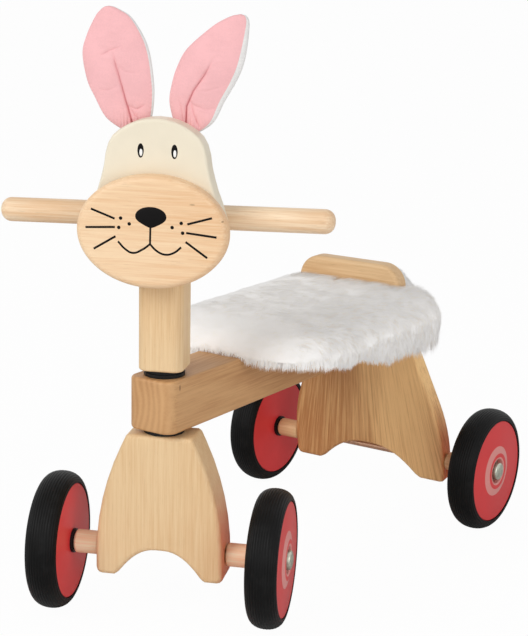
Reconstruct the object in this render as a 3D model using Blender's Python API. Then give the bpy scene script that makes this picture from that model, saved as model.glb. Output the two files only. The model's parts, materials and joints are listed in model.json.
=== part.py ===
"""Wooden rabbit ride-on toy: four rubber-tyred wheels, a steered front fork with a rabbit's head,
a beam, a leaning rear panel and a padded seat. Sizes are in millimetres and degrees, and MM turns
them into metres. The rider faces -Y, so the rider's left side is +X. The origin is on the floor,
under the middle of the whole toy, and the steering rests a little turned, as a parked toy's does.
"""

import math

import bmesh
import bpy
from mathutils import Matrix, Vector

MM = 0.001
GAP = 0.3

# How far a cutter runs past a surface, and the angles from which an edge counts as sharp
CUTTER_OVERRUN = 5.0
SHADED_SHARP_FROM = 35.0
ROUNDED_FROM = 40.0

# Stance
WHEELBASE = 395.0
REST_TURN = 22.0
FRONT_WHEEL_INNER = 88.0
REAR_WHEEL_INNER = 122.5

# Wheels
TYRE_RADIUS = 65.0
TYRE_WIDTH = 29.6
TYRE_CROWN_WIDTH = 3.0
TYRE_SHOULDER_HEIGHT = 10.0
DISC_RADIUS = 54.0
DISC_EDGE = 1.2
DISC_OUTER_RECESS = 0.5
BOSS_RADIUS = 26.5
BOSS_HEIGHT = 2.0
BOSS_FACE_RADIUS = 19.5
COUNTERBORE_RADIUS = 13.2
COUNTERBORE_DEPTH = 6.0
BUSH_WALL = 2.0
BUSH_FLANGE_RADIUS = 11.6
BUSH_FLANGE = 2.4
AXLE_RADIUS = 4.0
NUT_FLANGE_RADIUS = 11.8
NUT_FLANGE = 1.8
NUT_BODY_RADIUS = 9.2
NUT_BODY = 5.0
NUT_DOME_RADIUS = 8.6
NUT_DOME = 2.6
AXLE_THREAD = 5.6
ROD_END_EDGE = 0.8

# Front fork
FORK_TOP = 180.0
FORK_THICKNESS = 40.0
FORK_FOOT = 41.8
FORK_HALF_WIDTH = 60.5
FORK_TOP_HALF_WIDTH = 31.0
FORK_SIDE_STRAIGHT = 60.0
FORK_SHOULDER_ANGLE = 25.0
FORK_ARCH_HALF_WIDTH = 43.4
FORK_ARCH_TOP = 68.8
FORK_EDGE = 3.8
FORK_AXLE_DEPTH = 26.0
SPACER_RADIUS = 11.2
SPACER_EDGE = 1.6

# The arch of the fork and of the rear panel, as shares of its half width and of its height
ARCH_SHAPE = ((0.20, 0.985), (0.40, 0.88), (0.60, 0.66), (0.78, 0.36), (0.90, 0.12), (1.0, 0.0))
LEG_CORNER = 6.0
TOP_CORNER = 2.0

# Beam and steering bearing
BEAM_HALF_WIDTH = 25.0
BEAM_HEIGHT = 49.5
BEAM_NOSE = 25.0
BEAM_NOSE_RADIUS = 12.0
BEAM_EDGE = 3.0
BEARING_FLANGE_RADIUS = 19.0
LOWER_FLANGE = 4.0
UPPER_FLANGE = 3.2
THRUST_WASHER = 2.6
THRUST_WASHER_RADIUS = 18.0
BEARING_SLEEVE_RADIUS = 9.0
BEARING_SLEEVE_DEPTH = 20.0
STEERING_BOLT_RADIUS = 5.0
BOLT_HEAD_RADIUS = 8.5
BOLT_HEAD = 6.0
BOLT_POCKET_DEPTH = 10.0
STEERING_NUT_RADIUS = 8.0
STEERING_NUT_SHARE = 0.485
STEERING_NUT_LENGTH = 30.0
STEERING_NUT_COVER = 1.0

# Head post and handlebar
POST_SIZE = 42.0
POST_CORNER = 10.0
POST_ABOVE_BAR = 41.0
POST_EDGE = 2.5
HANDLEBAR_RADIUS = 11.5
HANDLEBAR_LENGTH = 306.0
HANDLEBAR_HEIGHT = 381.0
HANDLEBAR_END = 6.0
SCREW_RADIUS = 2.0
SCREW_HEAD_RADIUS = 4.2
SCREW_HEAD = 2.6
SCREW_MOUTH = 3.0
HANDLEBAR_SCREW_LENGTH = 34.0

# Head, muzzle and ears
HEAD_THICKNESS = 20.0
HEAD_HOUSING = 4.5
HEAD_ABOVE_BAR = 92.0
HEAD_BELOW_BAR = 47.0
HEAD_CROWN_RADIUS = 55.5
HEAD_CROWN_START = 45.3
HEAD_EDGE = 2.5
# The head's side from the middle of its chin up to its crown, as (across, height above the chin)
HEAD_SIDE = ((0.0, 0.0), (25.0, 4.0), (48.0, 18.0), (60.0, 34.0), (61.5, 50.0), (56.5, 65.5),
             (52.5, 76.0), (49.5, 86.0), (47.0, 96.0), (45.5, 107.0), (43.0, 116.0))
MUZZLE_THICKNESS = 17.5
MUZZLE_HALF_WIDTH = 68.2
MUZZLE_HALF_HEIGHT = 50.0
MUZZLE_BELOW_BAR = 4.7
MUZZLE_EDGE = 7.0
HEAD_DOWEL_RADIUS = 4.0
HEAD_DOWEL_BITE = 9.0
HEAD_DOWEL_COVER = 4.0
POST_DOWEL_SPREAD = 52.0
MUZZLE_DOWEL_SPREAD = 70.0
EAR_THICKNESS = 13.0
EAR_SEAT_DROP = 17.0
EAR_TAPER = 0.5
EAR_CREASE_WIDTH = 9.0
EAR_CREASE_DEPTH = 3.0
EAR_CREASE_SHARE = 0.62
EAR_SIDES = 16
EAR_PEG_RADIUS = 3.0
EAR_PEG_SPREAD = 23.0
EAR_PEG_HEIGHT = 6.0
# Stations up each ear: the height above its base, its middle's distance from the head's middle, and
# its half width. The left ear leans and tapers more than the right one.
LEFT_EAR = ((0.0, 21.0, 7.5), (7.0, 25.0, 12.5), (14.0, 26.7, 17.5), (29.0, 30.2, 24.0),
            (45.0, 36.1, 27.2), (59.0, 41.5, 28.0), (74.0, 47.5, 25.5), (92.0, 58.5, 16.5),
            (100.0, 64.5, 9.5), (104.5, 67.5, 2.5))
RIGHT_EAR = ((0.0, 25.0, 7.5), (7.0, 28.5, 13.0), (14.0, 30.5, 19.5), (29.0, 35.0, 26.2),
             (44.0, 38.7, 29.5), (67.0, 43.0, 29.0), (83.0, 43.7, 24.7), (99.0, 44.7, 15.7),
             (106.0, 47.0, 8.5), (109.0, 49.0, 2.5))

# Rear panel
PANEL_LEAN = 9.8
PANEL_THICKNESS = 20.0
PANEL_FOOT_DROP = 23.5
PANEL_FOOT_HALF_WIDTH = 93.5
PANEL_TOP_HALF_WIDTH = 45.5
PANEL_SIDE_STRAIGHT = 4.0
PANEL_SHOULDER_ANGLE = 19.5
PANEL_ARCH_HALF_WIDTH = 64.0
PANEL_ARCH_RISE = 6.5
PANEL_EDGE = 3.0
REAR_SPACER_RADIUS = 10.2
PANEL_BOLT_RADIUS = 3.0
PANEL_BOLT_HEAD_RADIUS = 6.0
PANEL_BOLT_HEAD = 3.0
PANEL_BOLT_SPREAD = 26.0
PANEL_BOLT_HEIGHT = 16.0
PANEL_BOLT_REACH = 38.0
BARREL_NUT_RADIUS = 5.0
BARREL_NUT_LENGTH = 24.0
PANEL_BOLT_TIP = 1.0

# Seat, backrest and tail
SEAT_FRONT = 96.0
SEAT_REAR_TO_AXLE = 24.0
SEAT_HALF_WIDTH = 93.0
SEAT_THICKNESS = 12.0
SEAT_EDGE = 2.5
SEAT_FRONT_CORNER = 45.0
SEAT_REAR_CORNER = 30.0
CUSHION_OVERHANG = 12.0
CUSHION_REAR_OVERHANG = 7.0
CUSHION_CROWN = 12.5
CUSHION_DOME = 1.5
CUSHION_DOME_INSET = 60.0
CUSHION_CORNER = 4.0
CUSHION_SKIRT = 22.4
CUSHION_SIDE_TUCK = 3.5
CUSHION_SHOULDER = 24.0
CUSHION_WALL_CLEARANCE = 0.8
SEAT_MIDDLE_SCREW_TO_AXLE = 146.0
SEAT_SCREW_LENGTH = 34.0
SEAT_SCREW_INSET = 30.0
BACKREST_HALF_WIDTH = 58.0
BACKREST_THICKNESS = 20.0
BACKREST_FRONT_TO_AXLE = 66.0
BACKREST_HEIGHT = 39.5
BACKREST_CORNER = 27.0
BACKREST_EDGE = 4.0
BACKREST_SCREW_SPREAD = 76.0
BACKREST_SCREW_LENGTH = 36.0
TAIL_RADIUS = 36.0
TAIL_OFFSET = 23.0
TAIL_ABOVE_BEAM = 1.9
TAIL_PEG_RADIUS = 4.0
TAIL_PEG_BITE = 12.0
TAIL_PEG_LENGTH = 32.0

# Roundness of the turned pieces, in sides
WHEEL_SIDES = 36
DOWEL_SIDES = 18
ROD_SIDES = 16
SCREW_SIDES = 12

# Values that follow from the sizes above
AXLE_HEIGHT = TYRE_RADIUS
TYRE_BORE = DISC_RADIUS + GAP
BEAM_BOTTOM = FORK_TOP + GAP + LOWER_FLANGE + GAP
BEAM_TOP = BEAM_BOTTOM + BEAM_HEIGHT
THRUST_WASHER_BOTTOM = BEAM_TOP + GAP + UPPER_FLANGE + GAP
POST_BOTTOM = THRUST_WASHER_BOTTOM + THRUST_WASHER + GAP
POST_HALF = POST_SIZE / 2
HEAD_BACK = -POST_HALF + HEAD_HOUSING - GAP
POST_TOP = HANDLEBAR_HEIGHT + POST_ABOVE_BAR
STEERING_NUT_HEIGHT = (HANDLEBAR_HEIGHT - POST_BOTTOM) * STEERING_NUT_SHARE
HEAD_BOTTOM = HANDLEBAR_HEIGHT - HEAD_BELOW_BAR
HEAD_TOP = HANDLEBAR_HEIGHT + HEAD_ABOVE_BAR
MUZZLE_HEIGHT = HANDLEBAR_HEIGHT - MUZZLE_BELOW_BAR
EAR_BASE_HEIGHT = HEAD_TOP - EAR_SEAT_DROP
HEAD_FRONT = HEAD_BACK - HEAD_THICKNESS
MUZZLE_BACK = HEAD_FRONT - GAP
MUZZLE_FRONT = MUZZLE_BACK - MUZZLE_THICKNESS
SEAT_BOTTOM = BEAM_TOP + GAP
SEAT_TOP = SEAT_BOTTOM + SEAT_THICKNESS
SEAT_REAR = WHEELBASE - SEAT_REAR_TO_AXLE
SEAT_MIDDLE_SCREW = WHEELBASE - SEAT_MIDDLE_SCREW_TO_AXLE
BACKREST_FRONT = WHEELBASE - BACKREST_FRONT_TO_AXLE
TAIL_HEIGHT = BEAM_TOP + TAIL_ABOVE_BEAM
LEAN = math.radians(PANEL_LEAN)
TURN = math.radians(REST_TURN)


def tyre_profile():
    """Points (across, radius) round the tyre's section, from its inner side over the tread."""
    half = TYRE_WIDTH / 2
    shoulder = half - TYRE_CROWN_WIDTH / 2
    side = TYRE_RADIUS - TYRE_SHOULDER_HEIGHT
    right = []
    for turn in (0, 24, 50, 90):
        angle = math.radians(turn)
        across = TYRE_CROWN_WIDTH / 2 + shoulder * math.cos(angle)
        right.append((across, side + TYRE_SHOULDER_HEIGHT * math.sin(angle)))
    left = [(-across, radius) for across, radius in reversed(right)]
    return [(-half, TYRE_BORE), (half, TYRE_BORE)] + right + left


def front_reach():
    """How far the turned front wheel lies ahead of the steering axis."""
    middle = FRONT_WHEEL_INNER + TYRE_WIDTH / 2
    return max((middle + across) * math.sin(TURN) + radius * math.cos(TURN)
               for across, radius in tyre_profile())


STEERING_Y = (front_reach() - WHEELBASE - TYRE_RADIUS) / 2


def clear_scene():
    for item in list(bpy.data.objects):
        bpy.data.objects.remove(item, do_unlink=True)


def finish(name, color, roughness, metallic=0.0):
    """A painted, waxed, moulded or metal surface."""
    made = bpy.data.materials.get(name)
    if made is None:
        made = bpy.data.materials.new(name)
        made.use_nodes = True
        shader = made.node_tree.nodes["Principled BSDF"]
        shader.inputs["Base Color"].default_value = (*color, 1.0)
        shader.inputs["Roughness"].default_value = roughness
        shader.inputs["Metallic"].default_value = metallic
    return made


def beech():
    return finish("natural_wood", (0.80, 0.60, 0.38), 0.45)


def steel():
    return finish("zinc_steel", (0.62, 0.63, 0.60), 0.32, 1.0)


def black_plastic():
    return finish("black_plastic", (0.02, 0.02, 0.02), 0.4)


def cream_paint():
    return finish("cream_paint", (0.87, 0.82, 0.72), 0.35)


def red_paint():
    return finish("red_paint", (0.62, 0.05, 0.06), 0.25)


def black_rubber():
    return finish("black_rubber", (0.02, 0.02, 0.02), 0.6)


def white_plush():
    return finish("white_plush", (0.90, 0.89, 0.87), 0.9)


def pink_cotton():
    return finish("pink_cotton", (0.93, 0.52, 0.54), 0.85)


def empty(name, place, parent=None, turn=0.0):
    pivot = bpy.data.objects.new(name, None)
    pivot.parent = parent
    pivot.location = Vector(place) * MM
    pivot.rotation_euler = (0.0, 0.0, turn)
    bpy.context.collection.objects.link(pivot)
    return pivot


def add_piece(name, shape, surface, parent, place=(0, 0, 0), turn=(0, 0, 0)):
    """An object from a bmesh whose points are in millimetres."""
    shape.verts.ensure_lookup_table()
    bmesh.ops.scale(shape, vec=(MM, MM, MM), verts=shape.verts)
    bmesh.ops.recalc_face_normals(shape, faces=shape.faces)
    mesh = bpy.data.meshes.new(name)
    shape.to_mesh(mesh)
    shape.free()
    mesh.shade_smooth()
    mesh.set_sharp_from_angle(angle=math.radians(SHADED_SHARP_FROM))
    piece = bpy.data.objects.new(name, mesh)
    piece.parent = parent
    piece.location = Vector(place) * MM
    piece.rotation_euler = turn
    bpy.context.collection.objects.link(piece)
    if surface:
        piece.data.materials.append(surface)
    return piece


def add_cutter(name, shape, parent, place=(0, 0, 0), turn=(0, 0, 0)):
    cutter = add_piece(name, shape, None, parent, place, turn)
    cutter.hide_render = True
    cutter.display_type = "WIRE"
    return cutter


def cut(piece, *cutters):
    for cutter in cutters:
        step = piece.modifiers.new("cut_" + cutter.name, "BOOLEAN")
        step.operation = "DIFFERENCE"
        step.solver = "EXACT"
        step.object = cutter


def round_edges(piece, width, segments=2):
    step = piece.modifiers.new("rounded_edges", "BEVEL")
    step.width = width * MM
    step.segments = segments
    step.limit_method = "ANGLE"
    step.angle_limit = math.radians(ROUNDED_FROM)


def plate(outline, back, front):
    """A board: an outline of (x, z) points, extruded along Y from back to front."""
    shape = bmesh.new()
    rear = [shape.verts.new((x, back, z)) for x, z in outline]
    fore = [shape.verts.new((x, front, z)) for x, z in outline]
    shape.faces.new(rear)
    shape.faces.new(fore)
    for i in range(len(outline)):
        j = (i + 1) % len(outline)
        shape.faces.new((rear[i], rear[j], fore[j], fore[i]))
    return shape


def slab(outline, low, high):
    """A board that lies flat: an outline of (x, y) points between two heights."""
    shape = plate(outline, low, high)
    flat = Matrix(((1, 0, 0, 0), (0, 0, 1, 0), (0, 1, 0, 0), (0, 0, 0, 1)))
    bmesh.ops.transform(shape, matrix=flat, verts=shape.verts)
    return shape


def loft(rings):
    """A closed skin over rings of equal length. A ring of one point is a pole."""
    shape = bmesh.new()
    rows = [[shape.verts.new(point) for point in ring] for ring in rings]
    for row, after in zip(rows, rows[1:]):
        count = max(len(row), len(after))
        for i in range(count):
            j = (i + 1) % count
            if len(row) == 1:
                shape.faces.new((row[0], after[j], after[i]))
            elif len(after) == 1:
                shape.faces.new((row[i], row[j], after[0]))
            else:
                shape.faces.new((row[i], row[j], after[j], after[i]))
    for end in (rows[0], rows[-1]):
        if len(end) > 2:
            shape.faces.new(end)
    return shape


def turned(profile, sides, axis="X", closed=False):
    """A turned piece: profile points (along, radius). A closed profile makes a ring."""
    rings = []
    for along, radius in profile:
        if radius == 0:
            rings.append([axis_point(axis, along, 0, 0)])
            continue
        ring = []
        for i in range(sides):
            angle = 2 * math.pi * i / sides
            ring.append(axis_point(axis, along, radius * math.cos(angle), radius * math.sin(angle)))
        rings.append(ring)
    if not closed:
        return loft(rings)
    shape = bmesh.new()
    rows = [[shape.verts.new(point) for point in ring] for ring in rings]
    for k in range(len(rows)):
        row = rows[k]
        after = rows[(k + 1) % len(rows)]
        for i in range(sides):
            j = (i + 1) % sides
            shape.faces.new((row[i], row[j], after[j], after[i]))
    return shape


def axis_point(axis, along, first, second):
    if axis == "X":
        return (along, first, second)
    if axis == "Y":
        return (first, along, second)
    return (first, second, along)


def rod(start, end, radius, sides, axis="X", edge=0.0):
    """A solid round bar between two places on its axis, with its end edges taken off."""
    if edge == 0:
        profile = [(start, 0), (start, radius), (end, radius), (end, 0)]
    else:
        profile = [(start, 0), (start, radius - edge), (start + edge, radius),
                   (end - edge, radius), (end, radius - edge), (end, 0)]
    return turned(profile, sides, axis)


def arc(centre_x, centre_z, radius, first, last, steps):
    """Points on an arc, between two angles in degrees."""
    points = []
    for i in range(steps + 1):
        angle = math.radians(first + (last - first) * i / steps)
        points.append((centre_x + radius * math.cos(angle), centre_z + radius * math.sin(angle)))
    return points


def both_halves(half):
    """A whole outline from its right half, listed from the bottom to the top."""
    return half + [(-x, z) for x, z in reversed(half) if x > 0]


def rectangle(half_width, first, last):
    return [(-half_width, first), (half_width, first), (half_width, last), (-half_width, last)]


def smooth_path(points, steps):
    """Points on a smooth curve through the given ones."""
    path = []
    for i in range(len(points) - 1):
        before = points[max(i - 1, 0)]
        after = points[min(i + 2, len(points) - 1)]
        start = points[i]
        end = points[i + 1]
        for step in range(steps):
            t = step / steps
            path.append(tuple(curve_value(*each, t) for each in zip(before, start, end, after)))
    return path + [points[-1]]


def curve_value(before, start, end, after, t):
    rise = (end - before) / 2
    fall = (after - start) / 2
    cubic = 2 * start - 2 * end + rise + fall
    square = -3 * start + 3 * end - 2 * rise - fall
    return cubic * t ** 3 + square * t ** 2 + rise * t + start


def leg_board(foot, straight, top, half_width, top_half_width, shoulder, arch_half_width, arch_top):
    """The outline of the fork and of the rear panel: two feet, an arch between them, and sides that
    run straight up, turn inwards on an arc and then run straight to the top."""
    angle = math.radians(shoulder)
    spare = half_width - top_half_width - math.tan(angle) * (top - straight)
    radius = spare / (1 - math.cos(angle) - math.tan(angle) * math.sin(angle))
    arch = [(0.0, arch_top)]
    for across, up in ARCH_SHAPE:
        arch.append((arch_half_width * across, foot + (arch_top - foot) * up))
    half = smooth_path(arch, 2)
    half.append((half_width - LEG_CORNER, foot))
    half += arc(half_width - LEG_CORNER, foot + LEG_CORNER, LEG_CORNER, -60, 0, 2)
    half += arc(half_width - radius, straight, radius, 0, shoulder, 6)
    half.append((top_half_width + TOP_CORNER * math.tan(angle), top - TOP_CORNER))
    half.append((top_half_width - TOP_CORNER, top))
    return both_halves(half)


def wheel(side_name, parent, middle, outward):
    """A wheel on its own pivot. Outward is 1 for the rider's left side and -1 for the right."""
    pivot = empty("spin_" + side_name, (middle * outward, 0, AXLE_HEIGHT), parent,
                  0.0 if outward > 0 else math.pi)
    half = TYRE_WIDTH / 2
    add_piece("tyre_" + side_name, turned(tyre_profile(), WHEEL_SIDES, closed=True), black_rubber(), pivot)

    inner = -half + GAP
    outer = half - DISC_OUTER_RECESS
    boss = outer + BOSS_HEIGHT
    floor = boss - COUNTERBORE_DEPTH
    bush = AXLE_RADIUS + GAP + BUSH_WALL
    bore = bush + GAP
    disc = [(inner, bore), (inner, DISC_RADIUS), (outer - DISC_EDGE, DISC_RADIUS),
            (outer, DISC_RADIUS - DISC_EDGE), (outer, BOSS_RADIUS), (boss, BOSS_FACE_RADIUS),
            (boss, COUNTERBORE_RADIUS + DISC_EDGE), (boss - DISC_EDGE, COUNTERBORE_RADIUS),
            (floor, COUNTERBORE_RADIUS), (floor, bore)]
    add_piece("disc_" + side_name, turned(disc, WHEEL_SIDES, closed=True), red_paint(), pivot)

    hole = AXLE_RADIUS + GAP
    collar = inner - GAP
    sleeve = [(collar - BUSH_FLANGE, hole), (collar - BUSH_FLANGE, BUSH_FLANGE_RADIUS),
              (collar, BUSH_FLANGE_RADIUS), (collar, bush), (floor, bush), (floor, hole)]
    add_piece("hub_bush_" + side_name, turned(sleeve, DOWEL_SIDES, closed=True), black_plastic(), pivot)


def wheel_places(inner_face):
    """Where the parts of an axle's end lie, measured outwards from the middle of the toy."""
    middle = inner_face + TYRE_WIDTH / 2
    spacer_end = inner_face - BUSH_FLANGE - GAP
    nut_start = middle + TYRE_WIDTH / 2 - DISC_OUTER_RECESS + BOSS_HEIGHT - COUNTERBORE_DEPTH + GAP
    return middle, spacer_end, nut_start


def axle_end(nut_start):
    return nut_start + NUT_FLANGE + AXLE_THREAD - GAP


def cap_nut(name, parent, nut_start, outward):
    """A flanged, domed nut, with a blind hole for the axle's thread."""
    dome = nut_start + NUT_FLANGE + NUT_BODY
    hole = AXLE_RADIUS + GAP
    skin = [(nut_start, hole), (nut_start, NUT_FLANGE_RADIUS),
            (nut_start + NUT_FLANGE / 2, NUT_FLANGE_RADIUS),
            (nut_start + NUT_FLANGE, NUT_BODY_RADIUS), (dome, NUT_BODY_RADIUS)]
    for turn in (30, 60):
        angle = math.radians(turn)
        skin.append((dome + NUT_DOME * math.sin(angle), NUT_DOME_RADIUS * math.cos(angle)))
    skin.append((dome + NUT_DOME, 0))
    bottom = nut_start + NUT_FLANGE + AXLE_THREAD
    profile = [(bottom, 0), (bottom, hole)] + skin
    add_piece(name, turned(profile, ROD_SIDES), steel(), parent,
              (0, 0, AXLE_HEIGHT), (0, 0, 0.0 if outward > 0 else math.pi))


def spacer(name, parent, start, end, radius, outward):
    hole = AXLE_RADIUS + GAP
    tube = [(start, hole), (start, radius - SPACER_EDGE), (start + SPACER_EDGE, radius),
            (end - SPACER_EDGE, radius), (end, radius - SPACER_EDGE), (end, hole)]
    add_piece(name, turned(tube, DOWEL_SIDES, closed=True), beech(), parent,
              (0, 0, AXLE_HEIGHT), (0, 0, 0.0 if outward > 0 else math.pi))


def screw_profile(head_at, length):
    """A countersunk screw along its axis: the head's flat face is at head_at, the tip below it."""
    return [(head_at, 0), (head_at, SCREW_HEAD_RADIUS), (head_at - SCREW_HEAD, SCREW_RADIUS),
            (head_at - length + SCREW_RADIUS, SCREW_RADIUS), (head_at - length, 0)]


def screw_hole_profile(head_at, length):
    """The room for such a screw, with its mouth opened past the surface."""
    wide = SCREW_HEAD_RADIUS + GAP
    narrow = SCREW_RADIUS + GAP
    mouth = head_at + SCREW_MOUTH
    end = head_at - length - GAP
    return [(mouth, 0), (mouth, wide), (head_at, wide), (head_at - SCREW_HEAD - GAP, narrow),
            (end, narrow), (end, 0)]


def make_fork(steering):
    outline = leg_board(FORK_FOOT, FORK_SIDE_STRAIGHT, FORK_TOP, FORK_HALF_WIDTH, FORK_TOP_HALF_WIDTH,
                        FORK_SHOULDER_ANGLE, FORK_ARCH_HALF_WIDTH, FORK_ARCH_TOP)
    half = FORK_THICKNESS / 2
    fork = add_piece("fork_block", plate(outline, half, -half), beech(), steering)
    round_edges(fork, FORK_EDGE)

    pocket = BOLT_HEAD_RADIUS + GAP
    pocket_top = FORK_ARCH_TOP + BOLT_POCKET_DEPTH
    hole = STEERING_BOLT_RADIUS + GAP
    end = FORK_TOP + CUTTER_OVERRUN
    room = [(0, 0), (0, pocket), (pocket_top, pocket), (pocket_top, hole), (end, hole), (end, 0)]
    cut(fork, add_cutter("fork_bolt_bore", turned(room, ROD_SIDES, "Z"), steering))

    middle, spacer_end, nut_start = wheel_places(FRONT_WHEEL_INNER)
    for side_name, outward in (("front_left", 1), ("front_right", -1)):
        turn = (0, 0, 0.0 if outward > 0 else math.pi)
        pin_start = FORK_HALF_WIDTH - FORK_AXLE_DEPTH
        bore = rod(pin_start - GAP, FORK_HALF_WIDTH + CUTTER_OVERRUN, AXLE_RADIUS + GAP, ROD_SIDES)
        cut(fork, add_cutter("bore_" + side_name, bore, steering, (0, 0, AXLE_HEIGHT), turn))
        pin = rod(pin_start, axle_end(nut_start), AXLE_RADIUS, ROD_SIDES, edge=ROD_END_EDGE)
        add_piece("axle_pin_" + side_name, pin, steel(), steering, (0, 0, AXLE_HEIGHT), turn)
        spacer("axle_spacer_" + side_name, steering, FORK_HALF_WIDTH + GAP, spacer_end,
               SPACER_RADIUS, outward)
        cap_nut("cap_nut_" + side_name, steering, nut_start, outward)
        wheel(side_name, steering, middle, outward)


def make_steering_bearing(chassis, steering):
    """Two flanged plastic bushes in the beam, a loose washer, and the bolt that turns in them."""
    hole = STEERING_BOLT_RADIUS + GAP
    for bush_name, face, outward, flange in (("lower_steering_bush", BEAM_BOTTOM, -1, LOWER_FLANGE),
                                             ("upper_steering_bush", BEAM_TOP, 1, UPPER_FLANGE)):
        inner = face - outward * BEARING_SLEEVE_DEPTH
        seat = face + outward * GAP
        outer = seat + outward * flange
        bush = [(inner, hole), (inner, BEARING_SLEEVE_RADIUS), (seat, BEARING_SLEEVE_RADIUS),
                (seat, BEARING_FLANGE_RADIUS), (outer, BEARING_FLANGE_RADIUS), (outer, hole)]
        add_piece(bush_name, turned(bush, DOWEL_SIDES, "Z", True), black_plastic(), chassis)
    washer_top = THRUST_WASHER_BOTTOM + THRUST_WASHER
    ring = [(THRUST_WASHER_BOTTOM, hole), (THRUST_WASHER_BOTTOM, THRUST_WASHER_RADIUS),
            (washer_top, THRUST_WASHER_RADIUS), (washer_top, hole)]
    add_piece("thrust_washer", turned(ring, DOWEL_SIDES, "Z", True), black_plastic(), steering)

    head_top = FORK_ARCH_TOP + BOLT_POCKET_DEPTH - GAP
    bolt_end = POST_BOTTOM + STEERING_NUT_HEIGHT + STEERING_NUT_RADIUS - GAP * 2
    head_bottom = head_top - BOLT_HEAD
    bolt = [(head_bottom, 0), (head_bottom, BOLT_HEAD_RADIUS), (head_top, BOLT_HEAD_RADIUS),
            (head_top, STEERING_BOLT_RADIUS), (bolt_end, STEERING_BOLT_RADIUS), (bolt_end, 0)]
    add_piece("steering_bolt", turned(bolt, ROD_SIDES, "Z"), steel(), steering)


def make_post(steering):
    corner = POST_HALF - POST_CORNER
    outline = []
    for x_sign, y_sign, start in ((1, 1, 0), (-1, 1, 90), (-1, -1, 180), (1, -1, 270)):
        outline += arc(corner * x_sign, corner * y_sign, POST_CORNER, start, start + 90, 4)
    post = add_piece("head_post", slab(outline, POST_BOTTOM, POST_TOP), beech(), steering)
    round_edges(post, POST_EDGE)

    nut_height = POST_BOTTOM + STEERING_NUT_HEIGHT
    bolt_bore = rod(POST_BOTTOM - CUTTER_OVERRUN, nut_height + STEERING_NUT_RADIUS,
                    STEERING_BOLT_RADIUS + GAP, ROD_SIDES, "Z")
    nut_half = STEERING_NUT_LENGTH / 2
    nut_middle = POST_HALF - nut_half - STEERING_NUT_COVER
    nut_bore = rod(nut_middle - nut_half - GAP, POST_HALF + CUTTER_OVERRUN, STEERING_NUT_RADIUS + GAP,
                   ROD_SIDES, "Y")
    bar_bore = rod(-POST_SIZE, POST_SIZE, HANDLEBAR_RADIUS + GAP, DOWEL_SIDES)
    housing = plate(rectangle(POST_SIZE, HEAD_BOTTOM - GAP, POST_TOP + CUTTER_OVERRUN), -POST_SIZE,
                    -POST_HALF + HEAD_HOUSING)
    cut(post, add_cutter("head_housing", housing, steering),
        add_cutter("post_bolt_bore", bolt_bore, steering),
        add_cutter("post_nut_bore", nut_bore, steering, (0, 0, nut_height)),
        add_cutter("post_bar_bore", bar_bore, steering, (0, 0, HANDLEBAR_HEIGHT)))

    barrel = rod(-nut_half, nut_half, STEERING_NUT_RADIUS, ROD_SIDES, "Y", ROD_END_EDGE)
    nut = add_piece("steering_barrel_nut", barrel, steel(), steering, (0, nut_middle, nut_height))
    thread = rod(-STEERING_NUT_LENGTH, STEERING_NUT_LENGTH, STEERING_BOLT_RADIUS + GAP, ROD_SIDES, "Z")
    cut(nut, add_cutter("nut_thread", thread, steering, (0, 0, nut_height)))

    reach = HANDLEBAR_LENGTH / 2
    end = HANDLEBAR_END
    grip = [(-reach, 0)]
    for turn in (30, 60, 90):
        angle = math.radians(turn)
        grip.append((-reach + end * (1 - math.cos(angle)), HANDLEBAR_RADIUS - end + end * math.sin(angle)))
    grip += [(-along, radius) for along, radius in reversed(grip)]
    bar = add_piece("handlebar", turned(grip, DOWEL_SIDES), beech(), steering, (0, 0, HANDLEBAR_HEIGHT))
    screw_head = POST_HALF - GAP
    hole = turned(screw_hole_profile(screw_head, HANDLEBAR_SCREW_LENGTH), SCREW_SIDES, "Y")
    room = add_cutter("handlebar_screw_bore", hole, steering, (0, 0, HANDLEBAR_HEIGHT))
    cut(post, room)
    cut(bar, room)
    screw = turned(screw_profile(screw_head, HANDLEBAR_SCREW_LENGTH), SCREW_SIDES, "Y")
    add_piece("handlebar_screw", screw, steel(), steering, (0, 0, HANDLEBAR_HEIGHT))


def head_outline():
    """The rabbit's head: full cheeks behind the muzzle, hollow sides and a round crown."""
    crown = arc(0, HEAD_TOP - HEAD_CROWN_RADIUS, HEAD_CROWN_RADIUS, HEAD_CROWN_START, 90, 5)
    side = [(across, HEAD_BOTTOM + height) for across, height in HEAD_SIDE]
    return both_halves(side + crown[:-1] + [(0.0, HEAD_TOP)])


def make_head(steering):
    head = add_piece("head_board", plate(head_outline(), HEAD_BACK, HEAD_FRONT), cream_paint(), steering)
    round_edges(head, HEAD_EDGE)
    oval = []
    for i in range(WHEEL_SIDES):
        angle = 2 * math.pi * i / WHEEL_SIDES
        oval.append((MUZZLE_HALF_WIDTH * math.cos(angle),
                     MUZZLE_HEIGHT + MUZZLE_HALF_HEIGHT * math.sin(angle)))
    muzzle = add_piece("muzzle", plate(oval, MUZZLE_BACK, MUZZLE_FRONT), beech(), steering)
    round_edges(muzzle, MUZZLE_EDGE, 3)

    bite = HEAD_DOWEL_BITE
    for side_name, side in (("left", 1), ("right", -1)):
        joint_dowel("muzzle_dowel_" + side_name, steering, (side * MUZZLE_DOWEL_SPREAD / 2, MUZZLE_HEIGHT),
                    MUZZLE_BACK - bite, HEAD_FRONT + bite, (muzzle, head))
    post = bpy.data.objects["head_post"]
    for end_name, end in (("upper", 1), ("lower", -1)):
        height = HANDLEBAR_HEIGHT + end * POST_DOWEL_SPREAD / 2
        joint_dowel("post_dowel_" + end_name, steering, (0, height), HEAD_FRONT + HEAD_DOWEL_COVER,
                    HEAD_BACK + GAP + bite, (head, post))


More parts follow.
